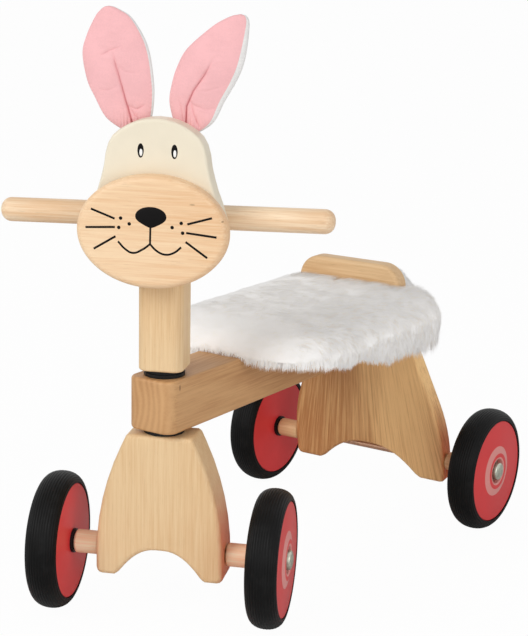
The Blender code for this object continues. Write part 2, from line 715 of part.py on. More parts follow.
def joint_dowel(name, parent, place, start, end, boards):
    """A wooden pin along Y that joins two boards."""
    x, z = place
    pin = rod(start + GAP, end - GAP, HEAD_DOWEL_RADIUS, SCREW_SIDES, "Y", ROD_END_EDGE)
    add_piece(name, pin, beech(), parent, (x, 0, z))
    room = rod(start, end, HEAD_DOWEL_RADIUS + GAP, SCREW_SIDES, "Y")
    hole = add_cutter(name + "_bore", room, parent, (x, 0, z))
    for board in boards:
        cut(board, hole)


def ear_ring(station, length, widest, side):
    """One closed section of a stuffed ear, creased down the lower middle of its front."""
    height, middle, half_width = station
    depth = EAR_THICKNESS / 2 * (half_width / widest) ** EAR_TAPER
    crease = EAR_CREASE_DEPTH * max(0.0, 1 - height / length / EAR_CREASE_SHARE)
    ring = []
    for i in range(EAR_SIDES):
        angle = 2 * math.pi * i / EAR_SIDES
        across = half_width * math.cos(angle)
        bulge = depth * math.sin(angle)
        if bulge < 0:
            bulge += min(crease, -bulge / 2) * max(0.0, 1 - abs(across) / EAR_CREASE_WIDTH)
        ring.append((side * (middle + across), bulge, height))
    return ring


def make_ears(steering):
    """Two stuffed cotton ears behind the head board, each on a wooden peg."""
    plane = HEAD_BACK + GAP + EAR_THICKNESS / 2
    head = bpy.data.objects["head_board"]
    for side_name, side, stations in (("left", 1, LEFT_EAR), ("right", -1, RIGHT_EAR)):
        length = stations[-1][0]
        widest = max(half_width for height, middle, half_width in stations)
        rings = [ear_ring(station, length, widest, side) for station in smooth_path(stations, 2)]
        ear = add_piece("ear_" + side_name, loft(rings), pink_cotton(), steering,
                        (0, plane, EAR_BASE_HEIGHT))
        spot = (side * EAR_PEG_SPREAD, 0, EAR_BASE_HEIGHT + EAR_PEG_HEIGHT)
        start = HEAD_BACK - HEAD_THICKNESS / 2
        end = plane + EAR_THICKNESS / 6
        peg = rod(start, end, EAR_PEG_RADIUS, SCREW_SIDES, "Y", ROD_END_EDGE)
        add_piece("ear_peg_" + side_name, peg, beech(), steering, spot)
        room = rod(start - GAP, end + GAP, EAR_PEG_RADIUS + GAP, SCREW_SIDES, "Y")
        hole = add_cutter("ear_peg_bore_" + side_name, room, steering, spot)
        cut(ear, hole)
        cut(head, hole)


def seat_outline(front, rear, half_width, front_corner, rear_corner, steps):
    """A rounded board's outline, with wider corners at the front."""
    points = arc(half_width - rear_corner, rear - rear_corner, rear_corner, 0, 90, steps)
    points += arc(-half_width + rear_corner, rear - rear_corner, rear_corner, 90, 180, steps)
    points += arc(-half_width + front_corner, front + front_corner, front_corner, 180, 270, steps)
    points += arc(half_width - front_corner, front + front_corner, front_corner, 270, 360, steps)
    return points


def seat_ring(inset, height):
    """The cushion's outline drawn in by an inset, at a height."""
    out = CUSHION_OVERHANG - inset
    rear = SEAT_REAR + CUSHION_REAR_OVERHANG - inset * CUSHION_REAR_OVERHANG / CUSHION_OVERHANG
    front_corner = max(SEAT_FRONT_CORNER + out, CUSHION_CORNER)
    rear_corner = max(SEAT_REAR_CORNER + out, CUSHION_CORNER)
    points = seat_outline(SEAT_FRONT - out, rear, SEAT_HALF_WIDTH + out, front_corner, rear_corner, 7)
    return [(x, y, height) for x, y in points]


def make_cushion(chassis):
    """The plush cushion: a crowned top, and a skirt that hangs round the edge of the seat board."""
    hem = SEAT_TOP - CUSHION_SKIRT
    waist = SEAT_BOTTOM + GAP
    crown = SEAT_TOP + CUSHION_CROWN
    shoulder_rise = crown - CUSHION_DOME - waist
    pocket_top = SEAT_TOP + GAP
    pocket = CUSHION_OVERHANG - CUSHION_WALL_CLEARANCE
    rings = [seat_ring(pocket, pocket_top), seat_ring(pocket, hem), seat_ring(CUSHION_SIDE_TUCK, hem),
             seat_ring(0, waist)]
    for turn in (18, 36, 54, 72, 90):
        angle = math.radians(turn)
        inset = CUSHION_SHOULDER * (1 - math.cos(angle))
        rings.append(seat_ring(inset, waist + shoulder_rise * math.sin(angle)))
    rings.append(seat_ring(CUSHION_DOME_INSET, crown))
    cushion = add_piece("seat_cushion", loft(rings), white_plush(), chassis)
    back_room = rectangle(BACKREST_HALF_WIDTH + CUSHION_WALL_CLEARANCE,
                          BACKREST_FRONT - CUSHION_WALL_CLEARANCE, SEAT_REAR + 2 * CUSHION_OVERHANG)
    beam_room = rectangle(BEAM_HALF_WIDTH + CUSHION_WALL_CLEARANCE, 0, BACKREST_FRONT)
    below = hem - CUTTER_OVERRUN
    cut(cushion, add_cutter("backrest_room", slab(back_room, below, crown + CUTTER_OVERRUN), chassis),
        add_cutter("beam_room", slab(beam_room, below, SEAT_BOTTOM), chassis))


def make_seat(chassis):
    outline = seat_outline(SEAT_FRONT, SEAT_REAR, SEAT_HALF_WIDTH, SEAT_FRONT_CORNER, SEAT_REAR_CORNER, 4)
    board = add_piece("seat_board", slab(outline, SEAT_BOTTOM, SEAT_TOP), beech(), chassis)
    round_edges(board, SEAT_EDGE, 1)
    make_cushion(chassis)

    low = SEAT_TOP + GAP
    high = low + BACKREST_HEIGHT
    corner = BACKREST_CORNER
    half = [(BACKREST_HALF_WIDTH, low)] + arc(BACKREST_HALF_WIDTH - corner, high - corner, corner, 0, 90, 6)
    outline = both_halves(half)
    rear = BACKREST_FRONT + BACKREST_THICKNESS
    backrest = add_piece("backrest", plate(outline, rear, BACKREST_FRONT), beech(), chassis)
    round_edges(backrest, BACKREST_EDGE, 3)
    middle = BACKREST_FRONT + BACKREST_THICKNESS / 2
    for side_name, side in (("left", 1), ("right", -1)):
        spot = (side * BACKREST_SCREW_SPREAD / 2, middle, SEAT_BOTTOM)
        board_screw("backrest_screw_" + side_name, chassis, spot, (math.pi, 0, 0), BACKREST_SCREW_LENGTH,
                    (board, backrest))

    beam = bpy.data.objects["beam"]
    panel = bpy.data.objects["rear_panel"]
    top = SEAT_TOP - GAP
    panel_line = WHEELBASE - (BEAM_TOP - AXLE_HEIGHT) * math.tan(LEAN)
    spots = (("front", 0, SEAT_FRONT + SEAT_SCREW_INSET, beam), ("middle", 0, SEAT_MIDDLE_SCREW, beam),
             ("rear_left", SEAT_SCREW_INSET, panel_line, panel),
             ("rear_right", -SEAT_SCREW_INSET, panel_line, panel))
    for spot_name, x, y, below in spots:
        lean = (0, 0, 0) if below == beam else (LEAN, 0, 0)
        board_screw("seat_screw_" + spot_name, chassis, (x, y, top), lean, SEAT_SCREW_LENGTH, (board, below))


def board_screw(name, parent, spot, turn, length, boards):
    """A countersunk wood screw whose head lies in the first board and whose tip is in the second."""
    add_piece(name, turned(screw_profile(0, length), SCREW_SIDES, "Z"), steel(), parent, spot, turn)
    room = turned(screw_hole_profile(0, length), SCREW_SIDES, "Z")
    hole = add_cutter(name + "_bore", room, parent, spot, turn)
    for board in boards:
        cut(board, hole)


def make_beam(chassis):
    """The square beam: a rounded nose round the steering bolt, and a rear end cut to the panel's lean."""
    nose = -BEAM_NOSE + BEAM_NOSE_RADIUS
    inner = BEAM_HALF_WIDTH - BEAM_NOSE_RADIUS
    outline = [(BEAM_HALF_WIDTH, WHEELBASE), (-BEAM_HALF_WIDTH, WHEELBASE)]
    outline += arc(-inner, nose, BEAM_NOSE_RADIUS, 180, 270, 5)
    outline += arc(inner, nose, BEAM_NOSE_RADIUS, 270, 360, 5)
    beam = add_piece("beam", slab(outline, BEAM_BOTTOM, BEAM_TOP), beech(), chassis)
    round_edges(beam, BEAM_EDGE)
    bore = rod(BEAM_BOTTOM - CUTTER_OVERRUN, BEAM_TOP + CUTTER_OVERRUN, BEARING_SLEEVE_RADIUS + GAP,
               DOWEL_SIDES, "Z")
    behind = plate(rectangle(BEAM_HEIGHT, 0, BEAM_TOP), BEAM_TOP, -PANEL_THICKNESS / 2 - GAP)
    cut(beam, add_cutter("beam_bearing_bore", bore, chassis),
        add_cutter("panel_side", behind, chassis, (0, WHEELBASE, AXLE_HEIGHT), (LEAN, 0, 0)))


def make_rear_panel(chassis):
    """The leaning panel. Its own frame has the rear axle at the origin and its thickness along Y."""
    lean = (LEAN, 0, 0)
    axle = (0, WHEELBASE, AXLE_HEIGHT)
    half = PANEL_THICKNESS / 2
    top = (BEAM_TOP - AXLE_HEIGHT - half * math.sin(LEAN)) / math.cos(LEAN)
    outline = leg_board(-PANEL_FOOT_DROP, PANEL_SIDE_STRAIGHT, top, PANEL_FOOT_HALF_WIDTH,
                        PANEL_TOP_HALF_WIDTH, PANEL_SHOULDER_ANGLE, PANEL_ARCH_HALF_WIDTH, PANEL_ARCH_RISE)
    panel = add_piece("rear_panel", plate(outline, half, -half), beech(), chassis, axle, lean)
    round_edges(panel, PANEL_EDGE)
    bore_half = PANEL_FOOT_HALF_WIDTH + CUTTER_OVERRUN
    bore = rod(-bore_half, bore_half, AXLE_RADIUS + GAP, ROD_SIDES)
    cut(panel, add_cutter("rear_axle_bore", bore, chassis, axle))

    middle, spacer_end, nut_start = wheel_places(REAR_WHEEL_INNER)
    reach = axle_end(nut_start)
    rear_axle = rod(-reach, reach, AXLE_RADIUS, ROD_SIDES, edge=ROD_END_EDGE)
    add_piece("rear_axle", rear_axle, steel(), chassis, axle)
    hub_line = empty("rear_axle_line", (0, WHEELBASE, 0), chassis)
    for side_name, outward in (("rear_left", 1), ("rear_right", -1)):
        spacer("axle_spacer_" + side_name, hub_line, PANEL_FOOT_HALF_WIDTH + GAP, spacer_end,
               REAR_SPACER_RADIUS, outward)
        cap_nut("cap_nut_" + side_name, hub_line, nut_start, outward)
        wheel(side_name, hub_line, middle, outward)

    frame = empty("panel_frame", axle, chassis)
    frame.rotation_euler = lean
    bolt_panel(frame, panel)
    make_tail(frame, panel)


def bolt_panel(frame, panel):
    """Two round-headed bolts through the panel, each in a cross nut let into the beam from below."""
    beam = bpy.data.objects["beam"]
    height = (BEAM_BOTTOM - AXLE_HEIGHT) / math.cos(LEAN) + PANEL_BOLT_HEIGHT
    face = PANEL_THICKNESS / 2 + GAP
    tip = -PANEL_THICKNESS / 2 - PANEL_BOLT_REACH
    rim = PANEL_BOLT_HEAD / 2
    end = face + PANEL_BOLT_HEAD
    for side_name, side in (("left", 1), ("right", -1)):
        x = side * PANEL_BOLT_SPREAD / 2
        bolt = [(tip, 0), (tip, PANEL_BOLT_RADIUS), (face, PANEL_BOLT_RADIUS),
                (face, PANEL_BOLT_HEAD_RADIUS), (face + rim, PANEL_BOLT_HEAD_RADIUS),
                (end, PANEL_BOLT_HEAD_RADIUS - rim), (end, 0)]
        add_piece("panel_bolt_" + side_name, turned(bolt, SCREW_SIDES, "Y"), steel(), frame, (x, 0, height))
        room = rod(tip - GAP, face + CUTTER_OVERRUN, PANEL_BOLT_RADIUS + GAP, SCREW_SIDES, "Y")
        hole = add_cutter("panel_bolt_bore_" + side_name, room, frame, (x, 0, height))
        nut_place = (x, tip + PANEL_BOLT_TIP + BARREL_NUT_RADIUS, height)
        nut_half = BARREL_NUT_LENGTH / 2
        nut = add_piece("barrel_nut_" + side_name,
                        rod(-nut_half, nut_half, BARREL_NUT_RADIUS, SCREW_SIDES, "Z", ROD_END_EDGE),
                        steel(), frame, nut_place)
        pocket = rod(-BEAM_HEIGHT, nut_half + GAP, BARREL_NUT_RADIUS + GAP, SCREW_SIDES, "Z")
        cut(beam, hole, add_cutter("barrel_nut_bore_" + side_name, pocket, frame, nut_place))
        cut(panel, hole)
        cut(nut, hole)


def make_tail(frame, panel):
    """A round plush tail with a flat front, on a wooden peg in the panel's back."""
    height = (TAIL_HEIGHT - AXLE_HEIGHT) / math.cos(LEAN)
    back = PANEL_THICKNESS / 2
    flat = back + GAP
    centre = flat + TAIL_OFFSET
    start = -math.asin(TAIL_OFFSET / TAIL_RADIUS)
    steps = 8
    profile = [(flat, 0)]
    for i in range(steps):
        angle = start + (math.pi / 2 - start) * i / steps
        profile.append((centre + TAIL_RADIUS * math.sin(angle), TAIL_RADIUS * math.cos(angle)))
    profile.append((centre + TAIL_RADIUS, 0))
    tail = add_piece("tail", turned(profile, DOWEL_SIDES, "Y"), white_plush(), frame, (0, 0, height))
    spot = (0, 0, height - TAIL_RADIUS / 2)
    bite = back - TAIL_PEG_BITE
    end = bite + TAIL_PEG_LENGTH
    peg = rod(bite, end, TAIL_PEG_RADIUS, SCREW_SIDES, "Y", ROD_END_EDGE)
    add_piece("tail_peg", peg, beech(), frame, spot)
    room = rod(bite - GAP, end + GAP, TAIL_PEG_RADIUS + GAP, SCREW_SIDES, "Y")
    hole = add_cutter("tail_peg_bore", room, frame, spot)
    cut(tail, hole)
    cut(panel, hole)


def build():
    clear_scene()
    chassis = empty("chassis", (0, STEERING_Y, 0))
    steering = empty("steering_axis", (0, STEERING_Y, 0), turn=TURN)
    make_beam(chassis)
    make_fork(steering)
    make_steering_bearing(chassis, steering)
    make_post(steering)
    make_head(steering)
    make_ears(steering)
    make_rear_panel(chassis)
    make_seat(chassis)


build()
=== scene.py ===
"""A wooden rabbit ride-on toy, dressed over its CAD frame: lacquered beech, painted head and wheels,
grooved rubber tyres, stuffed cotton ears and a long-pile plush seat and tail."""
import json
import math

import bpy
import numpy
from mathutils import Matrix, Vector, noise


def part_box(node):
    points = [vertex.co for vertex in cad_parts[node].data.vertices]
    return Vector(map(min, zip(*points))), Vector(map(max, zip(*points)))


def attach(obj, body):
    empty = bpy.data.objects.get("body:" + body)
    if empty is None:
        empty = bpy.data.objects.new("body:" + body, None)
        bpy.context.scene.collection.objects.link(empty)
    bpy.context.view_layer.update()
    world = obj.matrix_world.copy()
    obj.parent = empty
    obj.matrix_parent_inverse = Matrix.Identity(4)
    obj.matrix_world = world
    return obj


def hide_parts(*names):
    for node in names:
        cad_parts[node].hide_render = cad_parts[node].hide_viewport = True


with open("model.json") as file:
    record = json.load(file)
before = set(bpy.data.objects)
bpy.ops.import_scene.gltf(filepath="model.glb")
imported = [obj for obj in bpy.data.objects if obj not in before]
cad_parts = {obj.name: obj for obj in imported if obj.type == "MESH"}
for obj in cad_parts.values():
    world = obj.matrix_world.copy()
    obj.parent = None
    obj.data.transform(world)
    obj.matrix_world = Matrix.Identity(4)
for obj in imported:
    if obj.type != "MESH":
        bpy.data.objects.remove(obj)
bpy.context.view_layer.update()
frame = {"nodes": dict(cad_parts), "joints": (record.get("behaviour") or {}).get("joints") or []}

NODES = frame["nodes"]
JOINTS = {joint["name"]: joint for joint in frame["joints"]}
STEERING_PLACE = Vector((0.0, JOINTS["steering_turn"]["pos_m"][1], 0.0))
STEERING_TURN = math.atan2(JOINTS["spin_front_left"]["axis"][1], JOINTS["spin_front_left"]["axis"][0])
STEERING_ANGLES = (0, 0, STEERING_TURN)
STEERED = Matrix.Translation(STEERING_PLACE) @ Matrix.Rotation(STEERING_TURN, 4, "Z")
PANEL_LEAN = math.radians(9.8)
WHEELS = ("front_left", "front_right", "rear_left", "rear_right")
MM = 0.001

bl_info = {
    "name": "Rabbit Ride-on Toy",
    "version": (1, 0, 0),
    "blender": (4, 5, 0),
    "location": "3D View > Sidebar > Toy",
    "description": "Builds the finished pieces of a wooden rabbit ride-on toy",
    "category": "Object",
}


def chart(red, green, blue):
    """A colour read from a colour chart, 0 to 255, as a shader takes it."""
    return tuple(part / 3294.6 if part <= 10 else ((part / 255 + 0.055) / 1.055) ** 2.4
                 for part in (red, green, blue))


def colour(name, description, default):
    return bpy.props.FloatVectorProperty(name=name, description=description, default=default, size=3,
                                         min=0.0, max=1.0, subtype="COLOR")


def length(name, description, default):
    return bpy.props.FloatProperty(name=name, description=description, default=default, min=0.0,
                                   unit="LENGTH", precision=4)


class ToyWood(bpy.types.PropertyGroup):
    pale: colour("Pale beech", "Lightest grain of the pale boards", chart(238, 208, 164))
    tan: colour("Tan beech", "Streaks of the pale boards", chart(218, 176, 126))
    muzzle_pale: colour("Muzzle pale", "Lightest grain of the muzzle", chart(250, 220, 182))
    muzzle_tan: colour("Muzzle streaks", "Streaks of the muzzle", chart(232, 186, 140))
    beam_pale: colour("Beam pale", "Lightest grain of the beam and panel", chart(214, 168, 118))
    beam_brown: colour("Beam brown", "Streaks of the beam and panel", chart(176, 124, 76))
    panel_pale: colour("Panel pale", "Lightest grain of the rear panel", chart(255, 210, 146))
    panel_brown: colour("Panel brown", "Streaks of the rear panel", chart(182, 124, 74))
    rest_pale: colour("Backrest pale", "Lightest grain of the backrest", chart(234, 198, 152))
    rest_tan: colour("Backrest streaks", "Streaks of the backrest", chart(210, 166, 118))
    round_pale: colour("Round wood pale", "Palest grain of the handlebar and spacers", chart(252, 228, 196))
    round_tan: colour("Round wood streaks", "Streaks of the handlebar and spacers", chart(232, 192, 150))
    ring_spacing: length("Ring spacing", "Distance between growth rings on a board's face", 0.0065)


class ToyPaint(bpy.types.PropertyGroup):
    cream: colour("Cream", "Paint of the head board", chart(240, 230, 208))
    red: colour("Red", "Lacquer of the wheel discs", chart(224, 64, 66))
    # The boss ring colour is a painted highlight: the glossy paint's reflection on the boss's slope, and
    # light on the nut room's wall
    ring: colour("Boss ring", "Pale ring round the wheel discs' boss", chart(226, 150, 144))
    ink: colour("Ink", "Printed eyes, nose, mouth and whiskers", chart(14, 12, 12))
    glint: colour("Glint", "White of the eyes", chart(250, 250, 248))
    line_width: length("Line width", "Width of the printed lines", 0.00195)


class ToyCloth(bpy.types.PropertyGroup):
    plush: colour("Plush", "Pile of the seat and the tail", chart(255, 254, 253))
    # The darker plush colour: painted shade at the strands' roots, and the darker tone of some strands and
    # tufts
    plush_shade_and_tone: colour("Plush roots", "Roots of the pile", chart(241, 237, 232))
    pink: colour("Pink cotton", "Front of the ears", chart(249, 191, 193))
    lining: colour("White cotton", "Back of the ears", chart(240, 238, 236))
    seat_pile: length("Seat pile", "Length of the seat's pile", 0.0105)
    tail_pile: length("Tail pile", "Length of the tail's pile", 0.0085)
    ear_fold: length("Ear fold", "Depth of the long fold down each ear", 0.0026)


class ToyWheels(bpy.types.PropertyGroup):
    rubber: colour("Rubber", "The tyres", chart(11, 11, 11))
    steel: colour("Steel", "Domed nuts, axles and screws", chart(202, 206, 190))
    plastic: colour("Black plastic", "Bushes and washers", chart(20, 20, 21))
    groove: length("Tread groove", "Depth of the fine grooves round the tread", 0.00045)
    rib: length("Tread rib", "Distance from one groove to the next", 0.0026)


class ToyStage(bpy.types.PropertyGroup):
    floor: colour("Floor", "The pale floor", chart(234, 234, 234))
    key_power: bpy.props.FloatProperty(name="Key light", description="Power of the large key light",
                                       default=38.0, min=0.0, unit="POWER")
    fill_power: bpy.props.FloatProperty(name="Fill light", description="Power of the fill light",
                                        default=19.0, min=0.0, unit="POWER")
    sky: bpy.props.FloatProperty(name="Sky", description="Strength of the even light from all round",
                                 default=0.44, min=0.0, subtype="FACTOR")


def arithmetic(operation, reflected=False):
    """What one of Python's operators does to a signal: it adds the Math node of that operation."""
    def work(self, other):
        return self.wiring.maths(operation, *((other, self) if reflected else (self, other)))
    return work


class Signal:
    """A number on a shader's wire, for use in plain Python arithmetic."""
    __add__ = __radd__ = arithmetic("ADD")
    __sub__ = arithmetic("SUBTRACT")
    __rsub__ = arithmetic("SUBTRACT", True)
    __mul__ = __rmul__ = arithmetic("MULTIPLY")
    __truediv__ = arithmetic("DIVIDE")
    __pow__ = arithmetic("POWER")

    def __init__(self, wiring, socket):
        self.wiring = wiring
        self.socket = socket

    def wave(self):
        """0 to 1 and back, once for every 1 of the number."""
        return self.wiring.maths("SINE", self * (2 * math.pi)) * 0.5 + 0.5

    def above(self, low, high):
        """0 below low, 1 above high and a soft rise between them."""
        settings = {"interpolation_type": "SMOOTHSTEP"}
        sockets = {"Value": self, "From Min": low, "From Max": high}
        return Signal(self.wiring, self.wiring.node("ShaderNodeMapRange", settings, sockets).outputs[0])


class Wiring:
    """The nodes of a material or of the world."""

    def __init__(self, owner):
        owner.use_nodes = True
        self.tree = owner.node_tree

    def node(self, kind, settings=None, sockets=None):
        """Any node: its settings first, then the values or links of its sockets."""
        made = self.tree.nodes.new(kind)
        for name, value in (settings or {}).items():
            setattr(made, name, value)
        for name, value in (sockets or {}).items():
            self.feed(made.inputs[name], value)
        return made

    def feed(self, socket, value):
        source = value.socket if isinstance(value, Signal) else value
        if isinstance(source, bpy.types.NodeSocket):
            self.tree.links.new(source, socket)
        else:
            socket.default_value = source

    def maths(self, operation, *values):
        return Signal(self, self.node("ShaderNodeMath", {"operation": operation},
                                      dict(enumerate(values))).outputs[0])


class Finish(Wiring):
    """One material and its nodes."""

    def __init__(self, name, roughness, metallic=0.0):
        self.material = bpy.data.materials.new(name)
        super().__init__(self.material)
        self.shader = self.tree.nodes["Principled BSDF"]
        self.constant(Roughness=roughness, Metallic=metallic)

    def local(self, place=(0, 0, 0), turn=(0, 0, 0)):
        """Metres along the piece's own X, Y and Z."""
        coordinates = self.node("ShaderNodeTexCoord").outputs["Object"]
        settled = self.node("ShaderNodeMapping", {"vector_type": "TEXTURE"},
                            {"Vector": coordinates, "Location": place, "Rotation": turn}).outputs[0]
        parts = self.node("ShaderNodeSeparateXYZ", None, {"Vector": settled})
        return [Signal(self, parts.outputs[k]) for k in range(3)]

    def noise(self, x, y, z, detail=2.0, roughness=0.5):
        spot = self.node("ShaderNodeCombineXYZ", None, {"X": x, "Y": y, "Z": z}).outputs[0]
        sockets = {"Vector": spot, "Scale": 1.0, "Detail": detail, "Roughness": roughness}
        return Signal(self, self.node("ShaderNodeTexNoise", None, sockets).outputs[0])

    def specks(self, spot, fineness, detail=2.0, roughness=0.5):
        """Noise that is as fine in every direction."""
        return self.noise(*(part * fineness for part in spot), detail, roughness)

    def attribute(self, name):
        """A number that the piece's own mesh carries."""
        return Signal(self, self.node("ShaderNodeAttribute", {"attribute_name": name}).outputs["Fac"])

    def mix(self, share, first, second):
        """A colour between two, by a share from 0 to 1."""
        made = self.node("ShaderNodeMix", {"data_type": "RGBA"})
        self.feed(made.inputs[0], share)
        for socket, value in ((made.inputs[6], first), (made.inputs[7], second)):
            self.feed(socket, (*value, 1.0) if isinstance(value, tuple) else value)
        return made.outputs[2]

    def paint(self, base):
        self.feed(self.shader.inputs["Base Color"], base)

    def rough(self, amount):
        self.feed(self.shader.inputs["Roughness"], amount)

    def bump(self, height, distance, strength=1.0):
        sockets = {"Height": height, "Distance": distance, "Strength": strength}
        self.feed(self.shader.inputs["Normal"], self.node("ShaderNodeBump", None, sockets).outputs[0])

    def constant(self, **values):
        """Numbers that are the same all over, on the shader's own sockets."""
        for name, value in values.items():
            self.shader.inputs[name.replace("_", " ")].default_value = value


def toned(base, share=1.0):
    """A colour made so many times as strong, by one number or by one each for red, green and blue."""
    shares = share if isinstance(share, tuple) else (share,) * 3
    return tuple(part * each for part, each in zip(base, shares))


def beech(name, pale, brown, along="Z", place=(0, 0, 0), turn=(0, 0, 0), fan=0.0, wander=1.0, contrast=1.0,
          end=None, pair_tone_and_shade=0.0, knots=()):
    """Lacquered beech. Its grain runs along one axis of the piece's own frame. With a fan height, the
    grain spreads from a point that far up. An end is where the grain is cut across and shows its rings.
    For two glued boards, the first is browner than the second by the given share: partly the boards' own
    tones, partly painted shade from the beam and the seat above. Each knot is a place and its half sizes,
    in the grain's own directions."""
    settings = bpy.context.scene.toy_wood
    finish = Finish(name, 0.42)
    x, y, z = finish.local(place, turn)
    across, deep, run = {"X": (z, y, x), "Y": (x, z, y), "Z": (x, y, z)}[along]
    if fan:
        across = across / (fan - run) * fan
    drift = finish.noise(across * 9, deep * 9, run * 2.4, 1.0)
    rings = across * 0.95 + deep * 0.18 + drift * 0.03 * wander
    ring = (rings / settings.ring_spacing + finish.noise(across * 90, deep * 90, run * 7, 2.0) * 1.6).wave()
    streak = finish.noise(across * 520, deep * 520, run * 13, 3.0, 0.6)
    thread = finish.noise(across * 1300, deep * 1300, run * 30, 2.0, 0.55)
    fibre = finish.noise(across * 1700, deep * 1700, run * 70, 2.0, 0.6)
    cloud = finish.noise(across * 16, deep * 16, run * 6, 2.0)
    fine = (streak - 0.5) * 1.0 + (thread - 0.5) * 0.7 + (ring ** 1.5 - 0.4) * 0.13
    fleck = fibre.above(0.60, 0.74) * 0.3
    if end is not None:
        inside = (run - end).above(0.002, 0.009)
        bow = finish.noise(across * 34, deep * 16, 0.0, 2.0)
        height = deep - 0.1
        arcs = ((across + height * height * 6.0 + bow * 0.016) / 0.0068).wave()
        fine = fine * inside + ((arcs - 0.5) * 0.26 + (streak - 0.5) * 0.3) * (1 - inside)
        fleck = fleck * inside
    share = 0.45 + (fine + (cloud - 0.5) * 1.1) * contrast
    # The first board is browner: partly its own tone, partly painted shade from the beam and seat
    if pair_tone_and_shade:
        share = share + ((across * -1.0).above(-0.05, 0.045) - 0.45) * pair_tone_and_shade
    grain = finish.mix(share.above(0.0, 1.0), toned(pale), toned(brown))
    fleck = fleck * contrast
    for centre, halves in knots:
        reach = sum(((part - middle) / half) ** 2
                    for part, middle, half in zip((across, deep, run), centre, halves))
        fleck = finish.maths("MAXIMUM", fleck, (1 - reach.above(0.2, 1.4)) * 0.9)
    finish.paint(finish.mix(fleck, grain, toned(brown, 0.55)))
    finish.rough(0.40 + streak * 0.16)
    finish.bump(streak * 0.6 - fibre.above(0.58, 0.8), 0.00014, 0.4)
    finish.constant(Specular_IOR_Level=0.35)
    return finish.material


def painted(name, base, roughness, gloss, speckle, ring=None):
    """Brushed or sprayed paint over wood: a faint drift of tone and a soft orange peel. A ring colour, a
    painted highlight, shows where the piece's own ring values say."""
    finish = Finish(name, roughness)
    place = finish.local()
    drift = finish.specks(place, 30)
    peel = finish.specks(place, 900, 1.0)
    coat = finish.mix(drift.above(0.3, 0.7), toned(base, 1 - speckle), toned(base))
    if ring is not None:
        coat = finish.mix(finish.attribute("ring").above(0.2, 0.8), coat, toned(ring))
    finish.paint(coat)
    finish.rough(roughness + (drift - 0.5) * 0.1)
    finish.bump(peel, 0.00008, 0.5)
    finish.constant(Specular_IOR_Level=gloss)
    return finish.material


def tyre_rubber(name):
    """Black rubber with fine pores and a little grey dust."""
    finish = Finish(name, 0.5)
    place = finish.local()
    dust = finish.specks(place, 70, 3.0, 0.65)
    pores = finish.specks(place, 1600, 1.0)
    rubber = toned(bpy.context.scene.toy_wheels.rubber)
    dusty = tuple(part * 2.0 + 0.002 for part in rubber)
    finish.paint(finish.mix(dust.above(0.45, 0.8), rubber, dusty))
    finish.rough(0.36 + dust * 0.2)
    finish.bump(pores, 0.00008, 0.3)
    finish.constant(Specular_IOR_Level=0.12)
    return finish.material


def moulded(name):
    """Black plastic with the fine grit of its mould."""
    finish = Finish(name, 0.38)
    grit = finish.specks(finish.local(), 1200, 1.0)
    plastic = toned(bpy.context.scene.toy_wheels.plastic)
    finish.paint(finish.mix(grit.above(0.4, 0.7), plastic, toned(plastic, 1.6)))
    finish.rough(0.34 + grit * 0.12)
    finish.bump(grit, 0.00006, 0.4)
    finish.constant(Specular_IOR_Level=0.2)
    return finish.material


def plated(name, reflection_tint=1.0):
    """Zinc-plated steel, a little green and faintly clouded, and coloured by a painted reflection of what it
    mirrors.
    """
    finish = Finish(name, 0.34, 1.0)
    x, y, z = finish.local()
    cloud = finish.specks((x, y, z), 260, 3.0, 0.6)
    scratch = finish.noise(x * 2400, y * 300, z * 2400, 1.0)
    steel = toned(bpy.context.scene.toy_wheels.steel, reflection_tint)
    finish.paint(finish.mix(cloud.above(0.35, 0.7), toned(steel, 0.72), steel))
    finish.rough(0.26 + scratch * 0.2)
    finish.bump(scratch, 0.00005, 0.4)
    return finish.material


def cotton(name, base):
    """Plain woven cotton: crossed threads, a light fuzz, a soft change of tone, and painted shade in
    the slits of the ears' folds.
    """
    finish = Finish(name, 0.9)
    x, y, z = finish.local(STEERING_PLACE, STEERING_ANGLES)
    threads = (x / 0.0009).wave() * (z / 0.0009).wave()
    fuzz = finish.specks((x, y, z), 700)
    drift = finish.specks((x, y, z), 45)
    crease_shade = finish.attribute("crease_shade")
    cloth = finish.mix((drift * 0.6 + fuzz * 0.4).above(0.35, 0.65), toned(base, 0.93), toned(base))
    finish.paint(finish.mix(crease_shade.above(0.05, 1.0) * 0.85, cloth, toned(base, (0.60, 0.24, 0.27))))
    finish.rough(0.82 + fuzz * 0.14)
    finish.bump(threads * 0.6 + fuzz * 0.6, 0.0002, 0.45)
    finish.constant(Sheen_Weight=0.15, Sheen_Roughness=0.5, Specular_IOR_Level=0.15)
    return finish.material


# Strength of the glow that stands for the light that thin fibres pass on to each other
FIBRE_GLOW = 0.085


def plush(name):
    """White pile. Each strand and each tuft has its own tone, and a strand darkens toward its root with
    painted shade. A painted glow stands for the light that thin fibres pass on to each other.
    """
    cloth = bpy.context.scene.toy_cloth
    finish = Finish(name, 0.85)
    strand = finish.node("ShaderNodeAttribute", {"attribute_name": "strand"})
    parts = finish.node("ShaderNodeSeparateColor", None, {"Color": strand.outputs["Color"]})
    height, tone, tuft = (Signal(finish, parts.outputs[k]) for k in range(3))
    share = (height * 0.3 + tone * 0.25 + tuft * 0.6).above(0.2, 0.9)
    fibre = finish.mix(share, toned(cloth.plush_shade_and_tone), toned(cloth.plush))
    finish.paint(fibre)
    finish.feed(finish.shader.inputs["Emission Color"], fibre)
    finish.rough(0.72 + tone * 0.2)
    finish.constant(Specular_IOR_Level=0.1, Sheen_Weight=0.2, Sheen_Roughness=0.6,
                    Emission_Strength=FIBRE_GLOW)
    return finish.material


